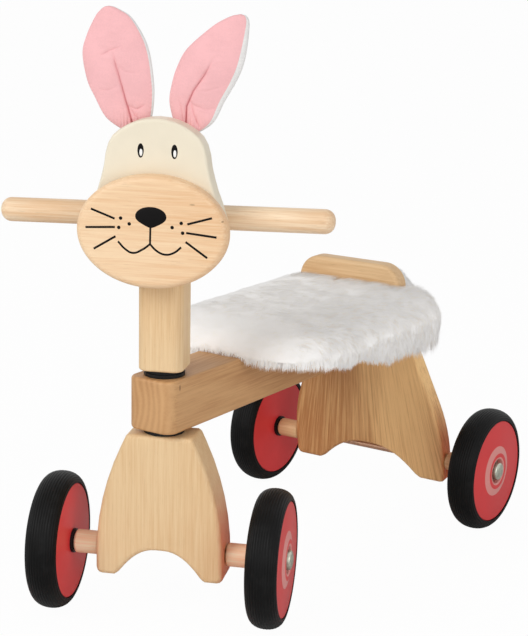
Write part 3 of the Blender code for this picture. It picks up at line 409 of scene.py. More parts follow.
def backing(name):
    """The stuffed core under the pile, in the pile's own tones, with the same painted glow as the pile."""
    cloth = bpy.context.scene.toy_cloth
    finish = Finish(name, 0.95)
    tufts = finish.specks(finish.local(), 220, 3.0, 0.6)
    shade = tuple((a + b) / 2 for a, b in zip(cloth.plush_shade_and_tone, cloth.plush))
    finish.paint(finish.mix(tufts.above(0.35, 0.65), shade, toned(cloth.plush)))
    finish.rough(0.86 + tufts * 0.1)
    finish.bump(tufts, 0.0006, 0.5)
    finish.constant(Emission_Color=(1.0, 0.98, 0.95, 1.0), Emission_Strength=FIBRE_GLOW)
    return finish.material


def only(piece):
    """Leaves one object selected and active."""
    bpy.ops.object.select_all(action="DESELECT")
    piece.select_set(True)
    bpy.context.view_layer.objects.active = piece


def edit(piece, *steps):
    """Runs edit-mode steps on everything in the piece."""
    only(piece)
    bpy.ops.object.mode_set(mode="EDIT")
    bpy.ops.mesh.select_all(action="SELECT")
    for step in steps:
        step()
    bpy.ops.object.mode_set(mode="OBJECT")


def apply_modifiers(piece):
    only(piece)
    for step in list(piece.modifiers):
        bpy.ops.object.modifier_apply(modifier=step.name)


def smooth(piece, angle=35.0):
    only(piece)
    bpy.ops.object.shade_smooth_by_angle(angle=math.radians(angle))


def weigh_normals(piece):
    step = piece.modifiers.new("weighted", "WEIGHTED_NORMAL")
    step.keep_sharp = True
    apply_modifiers(piece)


def rounded(piece, width, segments):
    """Rounds every sharp edge of a piece and shades it smooth, with its faces flat."""
    step = piece.modifiers.new("rounded", "BEVEL")
    step.width = width
    step.segments = segments
    step.limit_method = "ANGLE"
    step.angle_limit = math.radians(50)
    apply_modifiers(piece)
    smooth(piece)
    weigh_normals(piece)
    return piece


def started(add, **settings):
    """What one of Blender's add operators makes, with nothing else selected."""
    bpy.ops.object.select_all(action="DESELECT")
    add(**settings)
    return bpy.context.active_object


def linked(name, data):
    """A new object in the scene."""
    piece = bpy.data.objects.new(name, data)
    bpy.context.scene.collection.objects.link(piece)
    return piece


def settle(piece, name, body, surface, replaced=(), matrix=None):
    """Puts a finished piece in the toy's frame, gives it its finish and lets it ride on its body."""
    piece.name = name
    piece.data.name = name
    if matrix is not None:
        piece.matrix_world = matrix @ piece.matrix_world
    only(piece)
    bpy.ops.object.transform_apply()
    if surface:
        piece.data.materials.clear()
        piece.data.materials.append(surface)
    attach(piece, body)
    if replaced:
        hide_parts(*replaced)
    return piece


def new_piece(name, points, faces, edges=()):
    mesh = bpy.data.meshes.new(name)
    mesh.from_pydata(points, edges, faces)
    return linked(name, mesh)


def merged_copy(node, name):
    """A copy of a CAD node with its loose triangles joined."""
    piece = linked(name, NODES[node].data.copy())
    edit(piece, lambda: bpy.ops.mesh.remove_doubles(threshold=0.00001))
    return piece


def board_copy(node):
    """A copy of a CAD board with its edges shaded round and its faces flat."""
    piece = merged_copy(node, node + "_board")
    edit(piece, lambda: bpy.ops.mesh.normals_make_consistent(inside=False))
    smooth(piece, 40.0)
    weigh_normals(piece)
    return piece


def timber(low, high, rounding, edge, chosen, cut=None):
    """A squared timber between two corners. Its chosen edges, picked by their middle and direction,
    get the large rounding, an end may be cut by a plane, and every sharp edge left is eased."""
    low, high = Vector(low), Vector(high)
    piece = started(bpy.ops.mesh.primitive_cube_add, size=1.0, location=(low + high) / 2)
    piece.scale = high - low
    bpy.ops.object.transform_apply()
    if cut:
        edit(piece, lambda: bpy.ops.mesh.bisect(plane_co=cut[0], plane_no=cut[1], use_fill=True,
                                                clear_outer=True))
    only(piece)
    bpy.ops.object.mode_set(mode="EDIT")
    bpy.ops.mesh.select_mode(type="EDGE")
    bpy.ops.mesh.select_all(action="DESELECT")
    bpy.ops.object.mode_set(mode="OBJECT")
    places = [vertex.co for vertex in piece.data.vertices]
    for side in piece.data.edges:
        start, end = (places[k] for k in side.vertices)
        side.select = chosen((start + end) / 2, (end - start).normalized())
    bpy.ops.object.mode_set(mode="EDIT")
    bpy.ops.mesh.bevel(offset=rounding, segments=12, affect="EDGES")
    bpy.ops.object.mode_set(mode="OBJECT")
    return rounded(piece, edge, 5)


def bar(start, end, radius, edge, segments):
    """A round bar along X with rounded ends."""
    piece = started(bpy.ops.mesh.primitive_cylinder_add, vertices=64, radius=radius, depth=end - start,
                    location=((start + end) / 2, 0, 0), rotation=(0, math.radians(90), 0))
    bpy.ops.object.transform_apply(location=False)
    return rounded(piece, edge, segments)


def lathe(name, profile, steps, sharp=35.0):
    """A piece turned round the X axis from a closed or axis-to-axis profile of (across, radius)."""
    edges = [(k, k + 1) for k in range(len(profile) - 1)]
    if profile[0][1] > 0:
        edges.append((len(profile) - 1, 0))
    piece = new_piece(name, [(across, 0.0, radius) for across, radius in profile], [], edges)
    edit(piece, lambda: bpy.ops.mesh.spin(steps=steps, angle=2 * math.pi, center=(0, 0, 0), axis=(1, 0, 0)),
         lambda: bpy.ops.mesh.select_all(action="SELECT"),
         lambda: bpy.ops.mesh.remove_doubles(threshold=0.000002),
         lambda: bpy.ops.mesh.normals_make_consistent(inside=False))
    smooth(piece, sharp)
    return piece


def round_corner(centre, radius, first, last, steps):
    """Points of a profile round a corner, between two angles in degrees from the across direction."""
    points = []
    for k in range(steps + 1):
        angle = math.radians(first + (last - first) * k / steps)
        points.append((centre[0] + radius * math.cos(angle), centre[1] + radius * math.sin(angle)))
    return points


def wheel_frame(wheel):
    """The place of a wheel, with its X axis pointing out of the toy."""
    joint = JOINTS["spin_" + wheel]
    outward = 1.0 if wheel.endswith("left") else -1.0
    axis = Vector(joint["axis"]) * outward
    turn = math.atan2(axis.y, axis.x)
    return Matrix.Translation(joint["pos_m"]) @ Matrix.Rotation(turn, 4, "Z")


class TOY_OT_boards(bpy.types.Operator):
    """Dress the fork, beam, head post, rear panel, seat board and backrest in lacquered beech"""
    bl_idname = "toy.boards"
    bl_label = "Boards"

    def execute(self, context):
        wood = context.scene.toy_wood
        axle = JOINTS["spin_rear_left"]["pos_m"]
        panel_grain = beech("beech_panel", wood.panel_pale, wood.panel_brown, "Z", (0.0, axle[1], axle[2]),
                            (PANEL_LEAN, 0, 0), fan=0.42, wander=0.4, pair_tone_and_shade=0.7)
        fork_grain = beech("beech_fork", wood.pale, wood.tan, "Z", STEERING_PLACE, STEERING_ANGLES,
                           wander=0.5, contrast=0.75)
        for node, body, surface in (("fork_block", "steering", fork_grain),
                                    ("rear_panel", "chassis", panel_grain)):
            settle(board_copy(node), node + "_board", body, surface, (node,))

        low, high = local_extent("head_post", STEERED)
        post = timber(low, high, rounding=0.010, edge=0.0025, chosen=lambda place, way: abs(way.z) > 0.9)
        post_grain = beech("beech_post", wood.pale, wood.tan, "Z", STEERING_PLACE, STEERING_ANGLES,
                           contrast=0.85)
        settle(post, "head_post_timber", "steering", post_grain, ("head_post",), STEERED)

        low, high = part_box("beam")
        lean = Vector((0, math.cos(PANEL_LEAN), math.sin(PANEL_LEAN)))
        places = (vertex.co.copy() for vertex in NODES["beam"].data.vertices)
        against_panel = max(places, key=lambda place: place.dot(lean))
        beam = timber(low, Vector(high) + Vector((0, 0.02, 0)), rounding=0.012, edge=0.003,
                      chosen=lambda place, way: abs(way.z) > 0.9 and place.y < low[1] + 0.001,
                      cut=(against_panel, lean))
        beam_grain = beech("beech_beam", wood.beam_pale, wood.beam_brown, "Y", (0.013, 0, 0.11), wander=0.8,
                           contrast=0.85, end=low[1],
                           knots=(((0.012, 0.1176, -0.1905), (0.006, 0.0030, 0.0011)),))
        settle(beam, "beam_timber", "chassis", beam_grain, ("beam",))

        low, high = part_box("backrest")
        wider = Vector((0.0022, 0, 0))
        rest = timber(Vector(low) - wider, Vector(high) + wider, rounding=0.0235, edge=0.004,
                      chosen=lambda place, way: abs(way.y) > 0.9 and place.z > high[2] - 0.001)
        rest_grain = beech("beech_backrest", wood.rest_pale, wood.rest_tan, "X", (0, 0, 0.05))
        settle(rest, "backrest_board", "chassis", rest_grain, ("backrest",))
        dress(("seat_board", "muzzle_dowel", "post_dowel", "ear_peg", "tail_peg"),
              beech("beech_hidden", wood.beam_pale, wood.beam_brown, "Y"))
        return {"FINISHED"}


def dress(starts, surface):
    """Gives a finish to the CAD nodes whose names start so, which keep their own shape."""
    for node in NODES:
        if node.startswith(starts):
            materials = NODES[node].data.materials
            materials.clear()
            materials.append(surface)


# Half the handlebar's length, and its tilt in degrees
HANDLEBAR_HALF = 0.153
HANDLEBAR_TILT = 0.6


class TOY_OT_round_wood(bpy.types.Operator):
    """Turn the handlebar and the four wooden axle spacers"""
    bl_idname = "toy.round_wood"
    bl_label = "Handlebar and spacers"

    def execute(self, context):
        wood = context.scene.toy_wood
        # The front spacers take the round wood made paler: painted light, which brightens them against their
        # shade
        painted_light_tones = tuple(min(part, 1.0) for part in toned(wood.round_pale, 1.2)), toned(wood.round_tan, 1.2)
        browner = wood.rest_pale, wood.rest_tan
        low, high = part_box("handlebar")
        radius = (high[2] - low[2]) / 2 * 0.97
        height = (high[2] + low[2]) / 2
        grain = beech("beech_handlebar", wood.round_pale, wood.round_tan, "X", STEERING_PLACE,
                      STEERING_ANGLES, contrast=1.25)
        piece = bar(-HANDLEBAR_HALF, HANDLEBAR_HALF, radius, edge=0.0092, segments=8)
        tilt = Matrix.Rotation(-math.radians(HANDLEBAR_TILT), 4, "Y")
        lift = STEERED @ Matrix.Translation((0, 0, height)) @ tilt
        settle(piece, "handlebar_bar", "steering", grain, ("handlebar",), lift)
        for wheel in WHEELS:
            node = "axle_spacer_" + wheel
            place = wheel_frame(wheel)
            low, high = local_extent(node, place)
            body, tones = ("steering", painted_light_tones) if wheel.startswith("front") else ("chassis", browner)
            grain = beech("beech_spacer_" + wheel, *tones, "X", place.translation, place.to_euler())
            piece = bar(low[0], high[0], (high[2] - low[2]) / 2, edge=0.0030, segments=5)
            settle(piece, node + "_tube", body, grain, (node,), place)
        return {"FINISHED"}


class TOY_OT_head(bpy.types.Operator):
    """Make the cream head board and the oval muzzle in front of it"""
    bl_idname = "toy.head"
    bl_label = "Head and muzzle"

    def execute(self, context):
        paint = context.scene.toy_paint
        wood = context.scene.toy_wood
        cream = painted("cream_head", paint.cream, roughness=0.42, gloss=0.35, speckle=0.04)
        settle(board_copy("head_board"), "head_board_painted", "steering", cream,
               ("head_board",), Matrix.Translation((0, 0, -0.0012)))
        back, front, half_width, half_height, height = muzzle_size()
        piece = started(bpy.ops.mesh.primitive_cylinder_add, vertices=144, radius=1.0, depth=back - front,
                        location=(0, (back + front) / 2, height), rotation=(math.radians(90), 0, 0),
                        end_fill_type="NGON")
        bpy.ops.object.transform_apply(location=False)
        piece.scale = (half_width * 0.994, 1.0, half_height)
        bpy.ops.object.transform_apply(location=False)
        rounded(piece, 0.0060, 8)
        oval = beech("beech_muzzle", wood.muzzle_pale, wood.muzzle_tan, "X",
                     STEERING_PLACE + Vector((0, 0, 0.31)), STEERING_ANGLES, wander=1.6, contrast=0.9,
                     knots=(((0.0912, front, 0.0372), (0.0006, 0.01, 0.0026)),
                            ((0.0776, front, 0.0636), (0.0010, 0.01, 0.0011))))
        lowered = STEERED @ Matrix.Translation((0.0004, 0, -0.0015))
        settle(piece, "muzzle_oval", "steering", oval, ("muzzle",), lowered)
        return {"FINISHED"}


def local_extent(node, matrix):
    """A node's lowest and highest corner in a turned frame."""
    inverse = matrix.inverted()
    points = numpy.array([inverse @ vertex.co for vertex in NODES[node].data.vertices])
    return points.min(axis=0), points.max(axis=0)


def muzzle_size():
    low, high = local_extent("muzzle", STEERED)
    return high[1], low[1], (high[0] - low[0]) / 2, (high[2] - low[2]) / 2, (high[2] + low[2]) / 2


def tube_lines(name, paths, width, front, thickness):
    """Printed lines: flattened tubes along paths of (x, z) in millimetres on a plane that faces -Y."""
    data = bpy.data.curves.new(name, "CURVE")
    data.dimensions = "3D"
    data.bevel_depth = width / 2
    data.bevel_resolution = 2
    data.use_fill_caps = True
    data.resolution_u = 6
    for path, is_round in paths:
        spline = data.splines.new("BEZIER")
        spline.bezier_points.add(len(path) - 1)
        for point, (x, z) in zip(spline.bezier_points, path):
            point.co = (x * MM, 0.0, z * MM)
            handle = "AUTO" if is_round else "VECTOR"
            point.handle_left_type = handle
            point.handle_right_type = handle
    only(linked(name, data))
    bpy.ops.object.convert(target="MESH")
    piece = bpy.context.active_object
    piece.scale = (1.0, thickness / width, 1.0)
    piece.location = (0.0, front, 0.0)
    return piece


def spot(centre, size, front, thickness, sides, shape=None):
    """A printed oval of (x, z) centre and half sizes in millimetres, slightly domed."""
    piece = started(bpy.ops.mesh.primitive_uv_sphere_add, segments=sides, ring_count=8, radius=1.0,
                    rotation=(math.radians(90), 0, 0))
    bpy.ops.object.transform_apply(location=False)
    for vertex in piece.data.vertices:
        x, y, z = vertex.co
        if shape:
            x, z = shape(x, z)
        vertex.co = (x * size[0] * MM, y * thickness, z * size[1] * MM)
    piece.location = (centre[0] * MM, front, centre[1] * MM)
    only(piece)
    bpy.ops.object.shade_smooth()
    return piece


def join(pieces):
    only(pieces[0])
    for piece in pieces[1:]:
        piece.select_set(True)
    bpy.ops.object.join()
    return bpy.context.active_object


# The printed face, in millimetres from the steering axis and from the floor
WHISKERS = (((-53.0, 394.2), (-31.7, 386.5)), ((-58.0, 377.7), (-31.5, 379.1)),
            ((-50.6, 359.0), (-30.9, 371.0)), ((54.6, 391.1), (33.1, 384.7)),
            ((58.8, 374.5), (32.1, 377.1)), ((50.8, 356.1), (31.6, 369.2)))
FRECKLES = ((-26.3, 387.2), (-28.0, 378.9), (-18.6, 382.5), (27.6, 385.3), (28.9, 376.8), (19.6, 381.2))
MOUTH = (((0.3, 381.0), (0.0, 365.4)),
         ((0.0, 365.6), (-6.7, 360.6), (-15.4, 357.1), (-22.0, 360.0), (-28.7, 366.6)),
         ((0.0, 365.6), (6.2, 359.8), (13.8, 357.1), (21.3, 359.1), (27.7, 364.3)))
NOSE_CENTRE = (0.6, 389.2)
NOSE_SIZE = (13.9, 9.4)
EYES = (("right", -13.3), ("left", 16.9))
EYE_HEIGHT = 443.5


def nose_shape(x, z):
    """An oval with flat shoulders that comes to a blunt point at the bottom."""
    if z < 0:
        x *= 1 - 0.55 * z * z
    else:
        x *= 1 + 0.05 * z
        z *= 0.96
    return x, z


class TOY_OT_face(bpy.types.Operator):
    """Print the eyes, nose, mouth and whiskers"""
    bl_idname = "toy.face"
    bl_label = "Face"

    def execute(self, context):
        paint = context.scene.toy_paint
        ink = painted("black_ink", paint.ink, roughness=0.5, gloss=0.12, speckle=0.3)
        white = painted("white_ink", paint.glint, roughness=0.5, gloss=0.12, speckle=0.03)
        front = muzzle_size()[1]
        film = 0.00022
        width = paint.line_width
        pieces = [tube_lines("whisker_lines", [(line, False) for line in WHISKERS], width, front, film * 2),
                  tube_lines("mouth_lines", [(line, True) for line in MOUTH], width * 0.95, front, film * 2)]
        pieces += [spot(place, (1.6, 1.6), front, film, 16) for place in FRECKLES]
        lines = join(pieces)
        lowered = STEERED @ Matrix.Translation((0, 0, -0.0006))
        settle(lines, "muzzle_lines", "steering", ink, (), lowered)
        nose = spot(NOSE_CENTRE, NOSE_SIZE, front, 0.0006, 56, nose_shape)
        settle(nose, "nose_print", "steering", ink, (), lowered)
        face = local_extent("head_board", STEERED)[0][1]
        for side, x in EYES:
            eye = spot((x, EYE_HEIGHT), (2.85, 6.3), face, film, 32)
            settle(eye, "eye_print_" + side, "steering", ink, (), STEERED)
            glint = spot((x + 0.35, EYE_HEIGHT - 1.6), (1.35, 3.2), face - film * 0.9, film * 0.5, 24)
            settle(glint, "eye_glint_" + side, "steering", white, (), STEERED)
        return {"FINISHED"}


# Stations up each ear, in millimetres: height, middle from the head's middle, half width
EARS = {
    "left": ((456.0, 21.0, 8.5), (462.5, 26.0, 14.5), (470.0, 28.0, 19.5), (485.0, 30.2, 24.6),
             (501.0, 36.1, 28.0), (515.0, 41.5, 28.8), (530.0, 47.5, 26.2), (548.0, 58.5, 17.0),
             (556.0, 64.5, 10.3), (560.3, 68.0, 3.0)),
    "right": ((456.0, 25.0, 8.5), (462.5, 29.8, 15.5), (470.0, 31.8, 21.8), (485.0, 35.0, 26.8),
              (500.0, 38.7, 30.2), (523.0, 42.4, 30.6), (539.0, 43.4, 25.7), (555.0, 45.0, 16.4),
              (561.5, 47.5, 8.5), (564.6, 49.0, 2.5)),
}
# Where the pink front of each ear ends, on its outer and inner side: 0 is the edge, -1 the front's middle
EAR_SEAMS = {"left": (-0.55, -0.05), "right": (-0.05, -0.32)}
# How near to its poles the sphere closes, as a share of its radius; how high the gathers at the ear's foot
# reach and how wide the slit of a fold is, in millimetres
EAR_POLE = 0.12
GATHERS = 24.0
SLIT_WIDTH = 0.9
# The folds of each ear: points of (distance from the head's middle, height), depth and width
FOLDS = {
    "left": ((((46.6, 522.6), (37.8, 508.3), (27.8, 493.8), (21.7, 480.4), (20.7, 462.0)), 1.0, 2.4),
             (((20.5, 490.0), (27.0, 482.0), (38.0, 478.0), (50.0, 480.0)), 0.35, 3.0),
             (((25.0, 487.0), (28.0, 474.0), (33.0, 463.0)), 0.6, 2.2),
             (((14.0, 488.0), (17.5, 476.0), (19.0, 464.0)), 0.45, 2.2),
             (((28.0, 494.0), (40.0, 494.0), (55.0, 499.0)), 0.22, 3.5)),
    "right": ((((44.1, 526.9), (41.8, 513.7), (36.1, 495.1), (31.5, 478.7), (26.8, 462.0)), 1.0, 2.4),
              (((36.0, 530.5), (46.0, 527.0), (55.0, 522.5)), 0.5, 2.2),
              (((41.8, 513.7), (32.0, 508.0), (20.0, 508.0)), 0.28, 3.5),
              (((31.5, 478.7), (23.0, 476.0), (16.0, 480.0)), 0.5, 2.4),
              (((31.5, 480.0), (22.5, 468.0), (19.0, 462.0)), 0.6, 2.2),
              (((37.0, 498.0), (48.0, 492.0), (58.0, 492.0)), 0.25, 3.5)),
}


def smooth_run(stations, share):
    """A value of the smooth curve through the stations, by a share from 0 to 1 of their count."""
    place = share * (len(stations) - 1)
    k = min(int(place), len(stations) - 2)
    t = place - k
    before = stations[max(k - 1, 0)]
    start, end = stations[k], stations[k + 1]
    after = stations[min(k + 2, len(stations) - 1)]
    values = []
    for a, b, c, d in zip(before, start, end, after):
        rise, fall = (c - a) / 2, (d - b) / 2
        curve = (2 * b - 2 * c + rise + fall) * t ** 3 + (3 * c - 3 * b - 2 * rise - fall) * t * t
        values.append(curve + rise * t + b)
    return values


def nearest(point, path):
    """Distance from a point to a path, and the share of the path that lies before the nearest place."""
    best, where = 1e9, 0.0
    for k in range(len(path) - 1):
        start, end = Vector(path[k]), Vector(path[k + 1])
        line = end - start
        share = max(0.0, min(1.0, (point - start).dot(line) / line.length_squared))
        distance = (point - start - line * share).length
        if distance < best:
            best, where = distance, (k + share) / (len(path) - 1)
    return best, where


def ear_shape(side, piece):
    """Moves a sphere's points to a stuffed ear with its folds. The sphere's poles are its two ends."""
    sign = 1.0 if side == "left" else -1.0
    stations = EARS[side]
    widest = max(station[2] for station in stations)
    low, high = local_extent("ear_" + side, STEERED)
    plane = (low[1] + high[1]) / 2 / MM
    fullness = (high[1] - low[1]) / 2 / MM * 0.97
    fold = bpy.context.scene.toy_cloth.ear_fold / MM
    crease_shades = []
    for vertex in piece.data.vertices:
        x, y, z = vertex.co
        reach = math.hypot(x, y)
        height, middle, half_width = smooth_run(stations, math.asin(max(-1.0, min(1.0, z))) / math.pi + 0.5)
        end = min(1.0, reach / EAR_POLE)
        cos, sin = (x / reach, y / reach) if reach > 1e-6 else (0.0, 0.0)
        across = middle + half_width * cos * end
        depth = fullness * (half_width / widest) ** 0.5
        bulge = depth * math.copysign(abs(sin) ** 0.8, sin) * end
        spot_here = Vector((across, height))
        crease_shade = 0.0
        if sin < 0.2:
            pull = 0.0
            for path, amount, wide in FOLDS[side]:
                distance, share = nearest(spot_here, path)
                taper = min(1.0, (1 - share) * 2.5 + share * amount) * min(1.0, share * 3.5 + 0.15)
                slit = math.exp(-(distance / SLIT_WIDTH) ** 2) * taper
                valley = math.exp(-(distance / (wide * 2.2)) ** 2) * taper
                pull += amount * fold * (0.62 * slit + 0.5 * valley)
                # The slit marks where painted shade darkens the cloth in the fold
                crease_shade = max(crease_shade, slit * amount * (0.35 + 0.65 * share))
            bulge += min(pull, depth * 1.5) * max(0.0, -sin) ** 0.5
        face_on = 1 - abs(cos)
        gather = max(0.0, 1 - (height - stations[0][0]) / GATHERS)
        bulge += gather * 0.55 * math.sin(across * 2.1) * face_on
        pucker = math.exp(-((abs(cos) - 0.93) / 0.05) ** 2)
        bulge += 0.22 * pucker * math.sin(height * 1.7 + across) * (1 if sin > 0 else -1)
        bulge += noise.noise(Vector((across, bulge, height)) * 0.07) * 0.9 * face_on
        bulge += noise.noise(Vector((across * 0.35, bulge, height * 0.8)) * 0.35) * 0.3 * face_on
        crease_shades.append(crease_shade)
        vertex.co = (sign * across * MM, (plane + bulge) * MM, height * MM)
    layer = piece.data.attributes.new("crease_shade", "FLOAT", "POINT")
    layer.data.foreach_set("value", crease_shades)


class TOY_OT_ears(bpy.types.Operator):
    """Stuff and fold the two cotton ears"""
    bl_idname = "toy.ears"
    bl_label = "Ears"

    def execute(self, context):
        cloth = context.scene.toy_cloth
        pink = cotton("pink_cotton_weave", cloth.pink)
        lining = cotton("white_cotton_weave", cloth.lining)
        for side, (outer, inner) in EAR_SEAMS.items():
            piece = started(bpy.ops.mesh.primitive_uv_sphere_add, segments=248, ring_count=200, radius=1.0)
            front = [face.center.y < (outer if face.center.x > 0 else inner) * math.hypot(*face.center.xy)
                     for face in piece.data.polygons]
            ear_shape(side, piece)
            if side == "right":
                edit(piece, lambda: bpy.ops.mesh.flip_normals())
            settle(piece, "ear_cloth_" + side, "steering", None, ("ear_" + side,), STEERED)
            piece.data.materials.clear()
            piece.data.materials.append(pink)
            piece.data.materials.append(lining)
            for face, is_front in zip(piece.data.polygons, front):
                face.material_index = 0 if is_front else 1
            only(piece)
            bpy.ops.object.shade_smooth()
        return {"FINISHED"}


def tyre_profile(half, radius, bore, settings):
    """The tyre's section: flat sides, and a round tread with a fine groove for each rib."""
    crown = 0.0015
    shoulder = 0.010
    side = radius - shoulder
    steps = 720
    path = []
    for k in range(steps + 1):
        angle = math.pi * k / steps
        cos = math.cos(angle)
        across = crown * cos + (half - crown) * math.copysign(abs(cos) ** 0.92, cos)
        path.append((across, side + shoulder * math.sin(angle) ** 0.94))
    walked = [0.0]
    for before, after in zip(path, path[1:]):
        walked.append(walked[-1] + math.hypot(after[0] - before[0], after[1] - before[1]))
    steps_per_rib = 8
    samples = max(1, round(walked[-1] / settings.rib)) * steps_per_rib
    points = [(-half, bore), (half, bore)]
    place = 0
    for k in range(samples + 1):
        goal = walked[-1] * k / samples
        while place < len(walked) - 2 and walked[place + 1] < goal:
            place += 1
        share = (goal - walked[place]) / max(walked[place + 1] - walked[place], 1e-9)
        across, height = (a + (b - a) * share for a, b in zip(path[place], path[place + 1]))
        groove = settings.groove * (0.5 - 0.5 * math.cos(2 * math.pi * k / steps_per_rib)) ** 3
        lean = across / half
        points.append((across - groove * lean * 0.8, height - groove * (1 - lean * lean) ** 0.5))
    return points


class TOY_OT_wheels(bpy.types.Operator):
    """Make the grooved tyres, the lacquered discs with their raised bosses, and the domed nuts"""
    bl_idname = "toy.wheels"
    bl_label = "Wheels"

    def execute(self, context):
        settings = context.scene.toy_wheels
        rubber = tyre_rubber("tyre_rubber")
        paint = context.scene.toy_paint
        # The discs' pale ring is a painted highlight on the boss's slope and on the wall of the nut's room
        red = painted("red_lacquer", paint.red, roughness=0.36, gloss=0.2, speckle=0.06, ring=paint.ring)
        steel = plated("plated_nuts")
        for wheel in WHEELS:
            place = wheel_frame(wheel)
            body = "wheel_" + wheel
            low, high = local_extent("tyre_" + wheel, place)
            half = (high[0] - low[0]) / 2
            radius = high[2]
            disc_low, disc_high = local_extent("disc_" + wheel, place)
            bore = disc_high[2] + 0.0003
            tyre = lathe("tyre", tyre_profile(half, radius, bore, settings), 112, sharp=50.0)
            settle(tyre, "tyre_ribbed_" + wheel, body, rubber, ("tyre_" + wheel,), place)
            disc = lathe("disc", disc_profile(disc_low[0], disc_high[0], disc_high[2]), 112)
            mark_ring_highlight(disc, disc_high[0])
            settle(disc, "disc_lacquered_" + wheel, body, red, ("disc_" + wheel,), place)
            nut_low, nut_high = local_extent("cap_nut_" + wheel, place)
            nut = lathe("nut", nut_profile(nut_low[0], nut_high[0], nut_high[2]), 48)
            carrier = "steering" if wheel.startswith("front") else "chassis"
            settle(nut, "cap_nut_domed_" + wheel, carrier, steel, ("cap_nut_" + wheel,), place)
        return {"FINISHED"}


# The disc's boss: the radius of its slope's foot and top, and of the room for the nut, whose wall is
# eased to a larger radius at its mouth
BOSS_FOOT = 0.0265
BOSS_TOP = 0.0198
NUT_ROOM = 0.0132
NUT_ROOM_MOUTH = 0.0150
NUT_ROOM_DEPTH = 0.006


def disc_profile(inner, boss, radius):
    """The disc's section from its bore over the back, the rim, the face, the boss and the nut's room."""
    face = boss - 0.002
    bore = 0.0066
    edge = 0.0012
    floor = boss - NUT_ROOM_DEPTH
    points = [(inner, bore), (inner, radius - edge)]
    points += round_corner((inner + edge, radius - edge), edge, 180, 90, 4)
    points += round_corner((face - edge, radius - edge), edge, 90, 0, 4)
    points += [(face, BOSS_FOOT + 0.0005), (face + 0.0001, BOSS_FOOT), (boss - 0.0002, BOSS_TOP),
               (boss, BOSS_TOP - 0.0008), (boss, NUT_ROOM_MOUTH + 0.0010)]
    points += round_corner((boss - edge, NUT_ROOM + edge), edge, 0, -90, 4)
    return points + [(floor, NUT_ROOM), (floor, NUT_ROOM - 0.0004), (floor, bore)]


def mark_ring_highlight(disc, boss):
    """Marks the slope round the boss and the wall of the nut's room, where a painted highlight makes them
    lighter than the face.
    """
    near = 0.0001
    values = []
    for vertex in disc.data.vertices:
        radius = math.hypot(vertex.co.y, vertex.co.z)
        slope = BOSS_TOP - near < radius < BOSS_FOOT + near and vertex.co.x > boss - 0.003
        wall = NUT_ROOM - near < radius < NUT_ROOM_MOUTH and vertex.co.x > boss - NUT_ROOM_DEPTH - 0.0005
        values.append(1.0 if slope or wall else 0.0)
    layer = disc.data.attributes.new("ring", "FLOAT", "POINT")
    layer.data.foreach_set("value", values)


def nut_profile(start, end, radius):
    """A flanged nut with a domed end."""
    flange = start + 0.0018
    body = 0.0092
    shoulder = end - 0.0026
    points = [(start, 0.0), (start, radius - 0.0004), (start + 0.0004, radius), (flange - 0.0008, radius),
              (flange, body + 0.0006), (flange + 0.0004, body), (shoulder, body)]
    for k in range(1, 9):
        angle = math.radians(90) * k / 8
        across = shoulder + (end - shoulder) * math.sin(angle)
        points.append((across, body * math.cos(angle) if k < 8 else 0.0))
    return points


# Painted reflection: the axle that shows in the arch is coloured brown for the wood it mirrors
PAINTED_WOOD_REFLECTION = (1.08, 0.62, 0.50)


class TOY_OT_fittings(bpy.types.Operator):
    """Give the axles, bolts, screws and black bushes their finishes"""
    bl_idname = "toy.fittings"
    bl_label = "Fittings"

    def execute(self, context):
        dress(("axle_pin", "steering_bolt", "steering_barrel_nut", "handlebar_screw", "panel_bolt",
               "barrel_nut", "seat_screw", "backrest_screw"), plated("plated_steel"))
        dress("rear_axle", plated("plated_axle_painted_reflection", PAINTED_WOOD_REFLECTION))
        dress(("hub_bush", "lower_steering_bush", "upper_steering_bush", "thrust_washer"),
              moulded("black_plastic_moulded"))
        return {"FINISHED"}


def surface_points(piece, count, seed, weigh):
    """Places and normals spread over a mesh, as thickly as weigh says for a place and its normal."""
    mesh = piece.data
    mesh.calc_loop_triangles()
    corners = numpy.array([triangle.vertices[:] for triangle in mesh.loop_triangles])
    places = numpy.array([vertex.co[:] for vertex in mesh.vertices])
    normals = numpy.array([vertex.normal[:] for vertex in mesh.vertices])
    a, b, c = places[corners[:, 0]], places[corners[:, 1]], places[corners[:, 2]]
    facing = numpy.cross(b - a, c - a)
    area = numpy.linalg.norm(facing, axis=1)
    area = area * weigh((a + b + c) / 3, unit(facing))
    chance = numpy.random.RandomState(seed)
    pick = chance.choice(len(area), size=count, p=area / area.sum())
    first, second = chance.rand(count, 1), chance.rand(count, 1)
    over = first + second > 1
    first, second = numpy.where(over, 1 - first, first), numpy.where(over, 1 - second, second)
    spots = a[pick] + first * (b - a)[pick] + second * (c - a)[pick]
    na, nb, nc = (normals[corners[pick, k]] for k in range(3))
    out = na + first * (nb - na) + second * (nc - na)
    return spots, unit(out), chance


def unit(vectors):
    return vectors / numpy.maximum(numpy.linalg.norm(vectors, axis=1, keepdims=True), 1e-9)


def clump_drift(spots, size, seed):
    """A smooth random direction for each place, the same for near ones, so that strands gather in tufts."""
    noise.seed_set(seed)
    drift = numpy.zeros_like(spots)
    for k, spot_here in enumerate(spots):
        where = Vector(spot_here) / size + Vector((seed, seed * 1.7, seed * 0.6))
        drift[k] = noise.noise_vector(where)
    return drift


# Strands of the pile on the seat and on the tail, and the width of a strand at its root
SEAT_STRANDS = 150000
TAIL_STRANDS = 24000
STRAND_WIDTH = 0.00050
# How far apart strands may stand and still lean alike, in a small tuft and in a large lock, or share a tone
TUFT_SIZE = 0.010
LOCK_SIZE = 0.030
TONE_SIZE = 0.0035


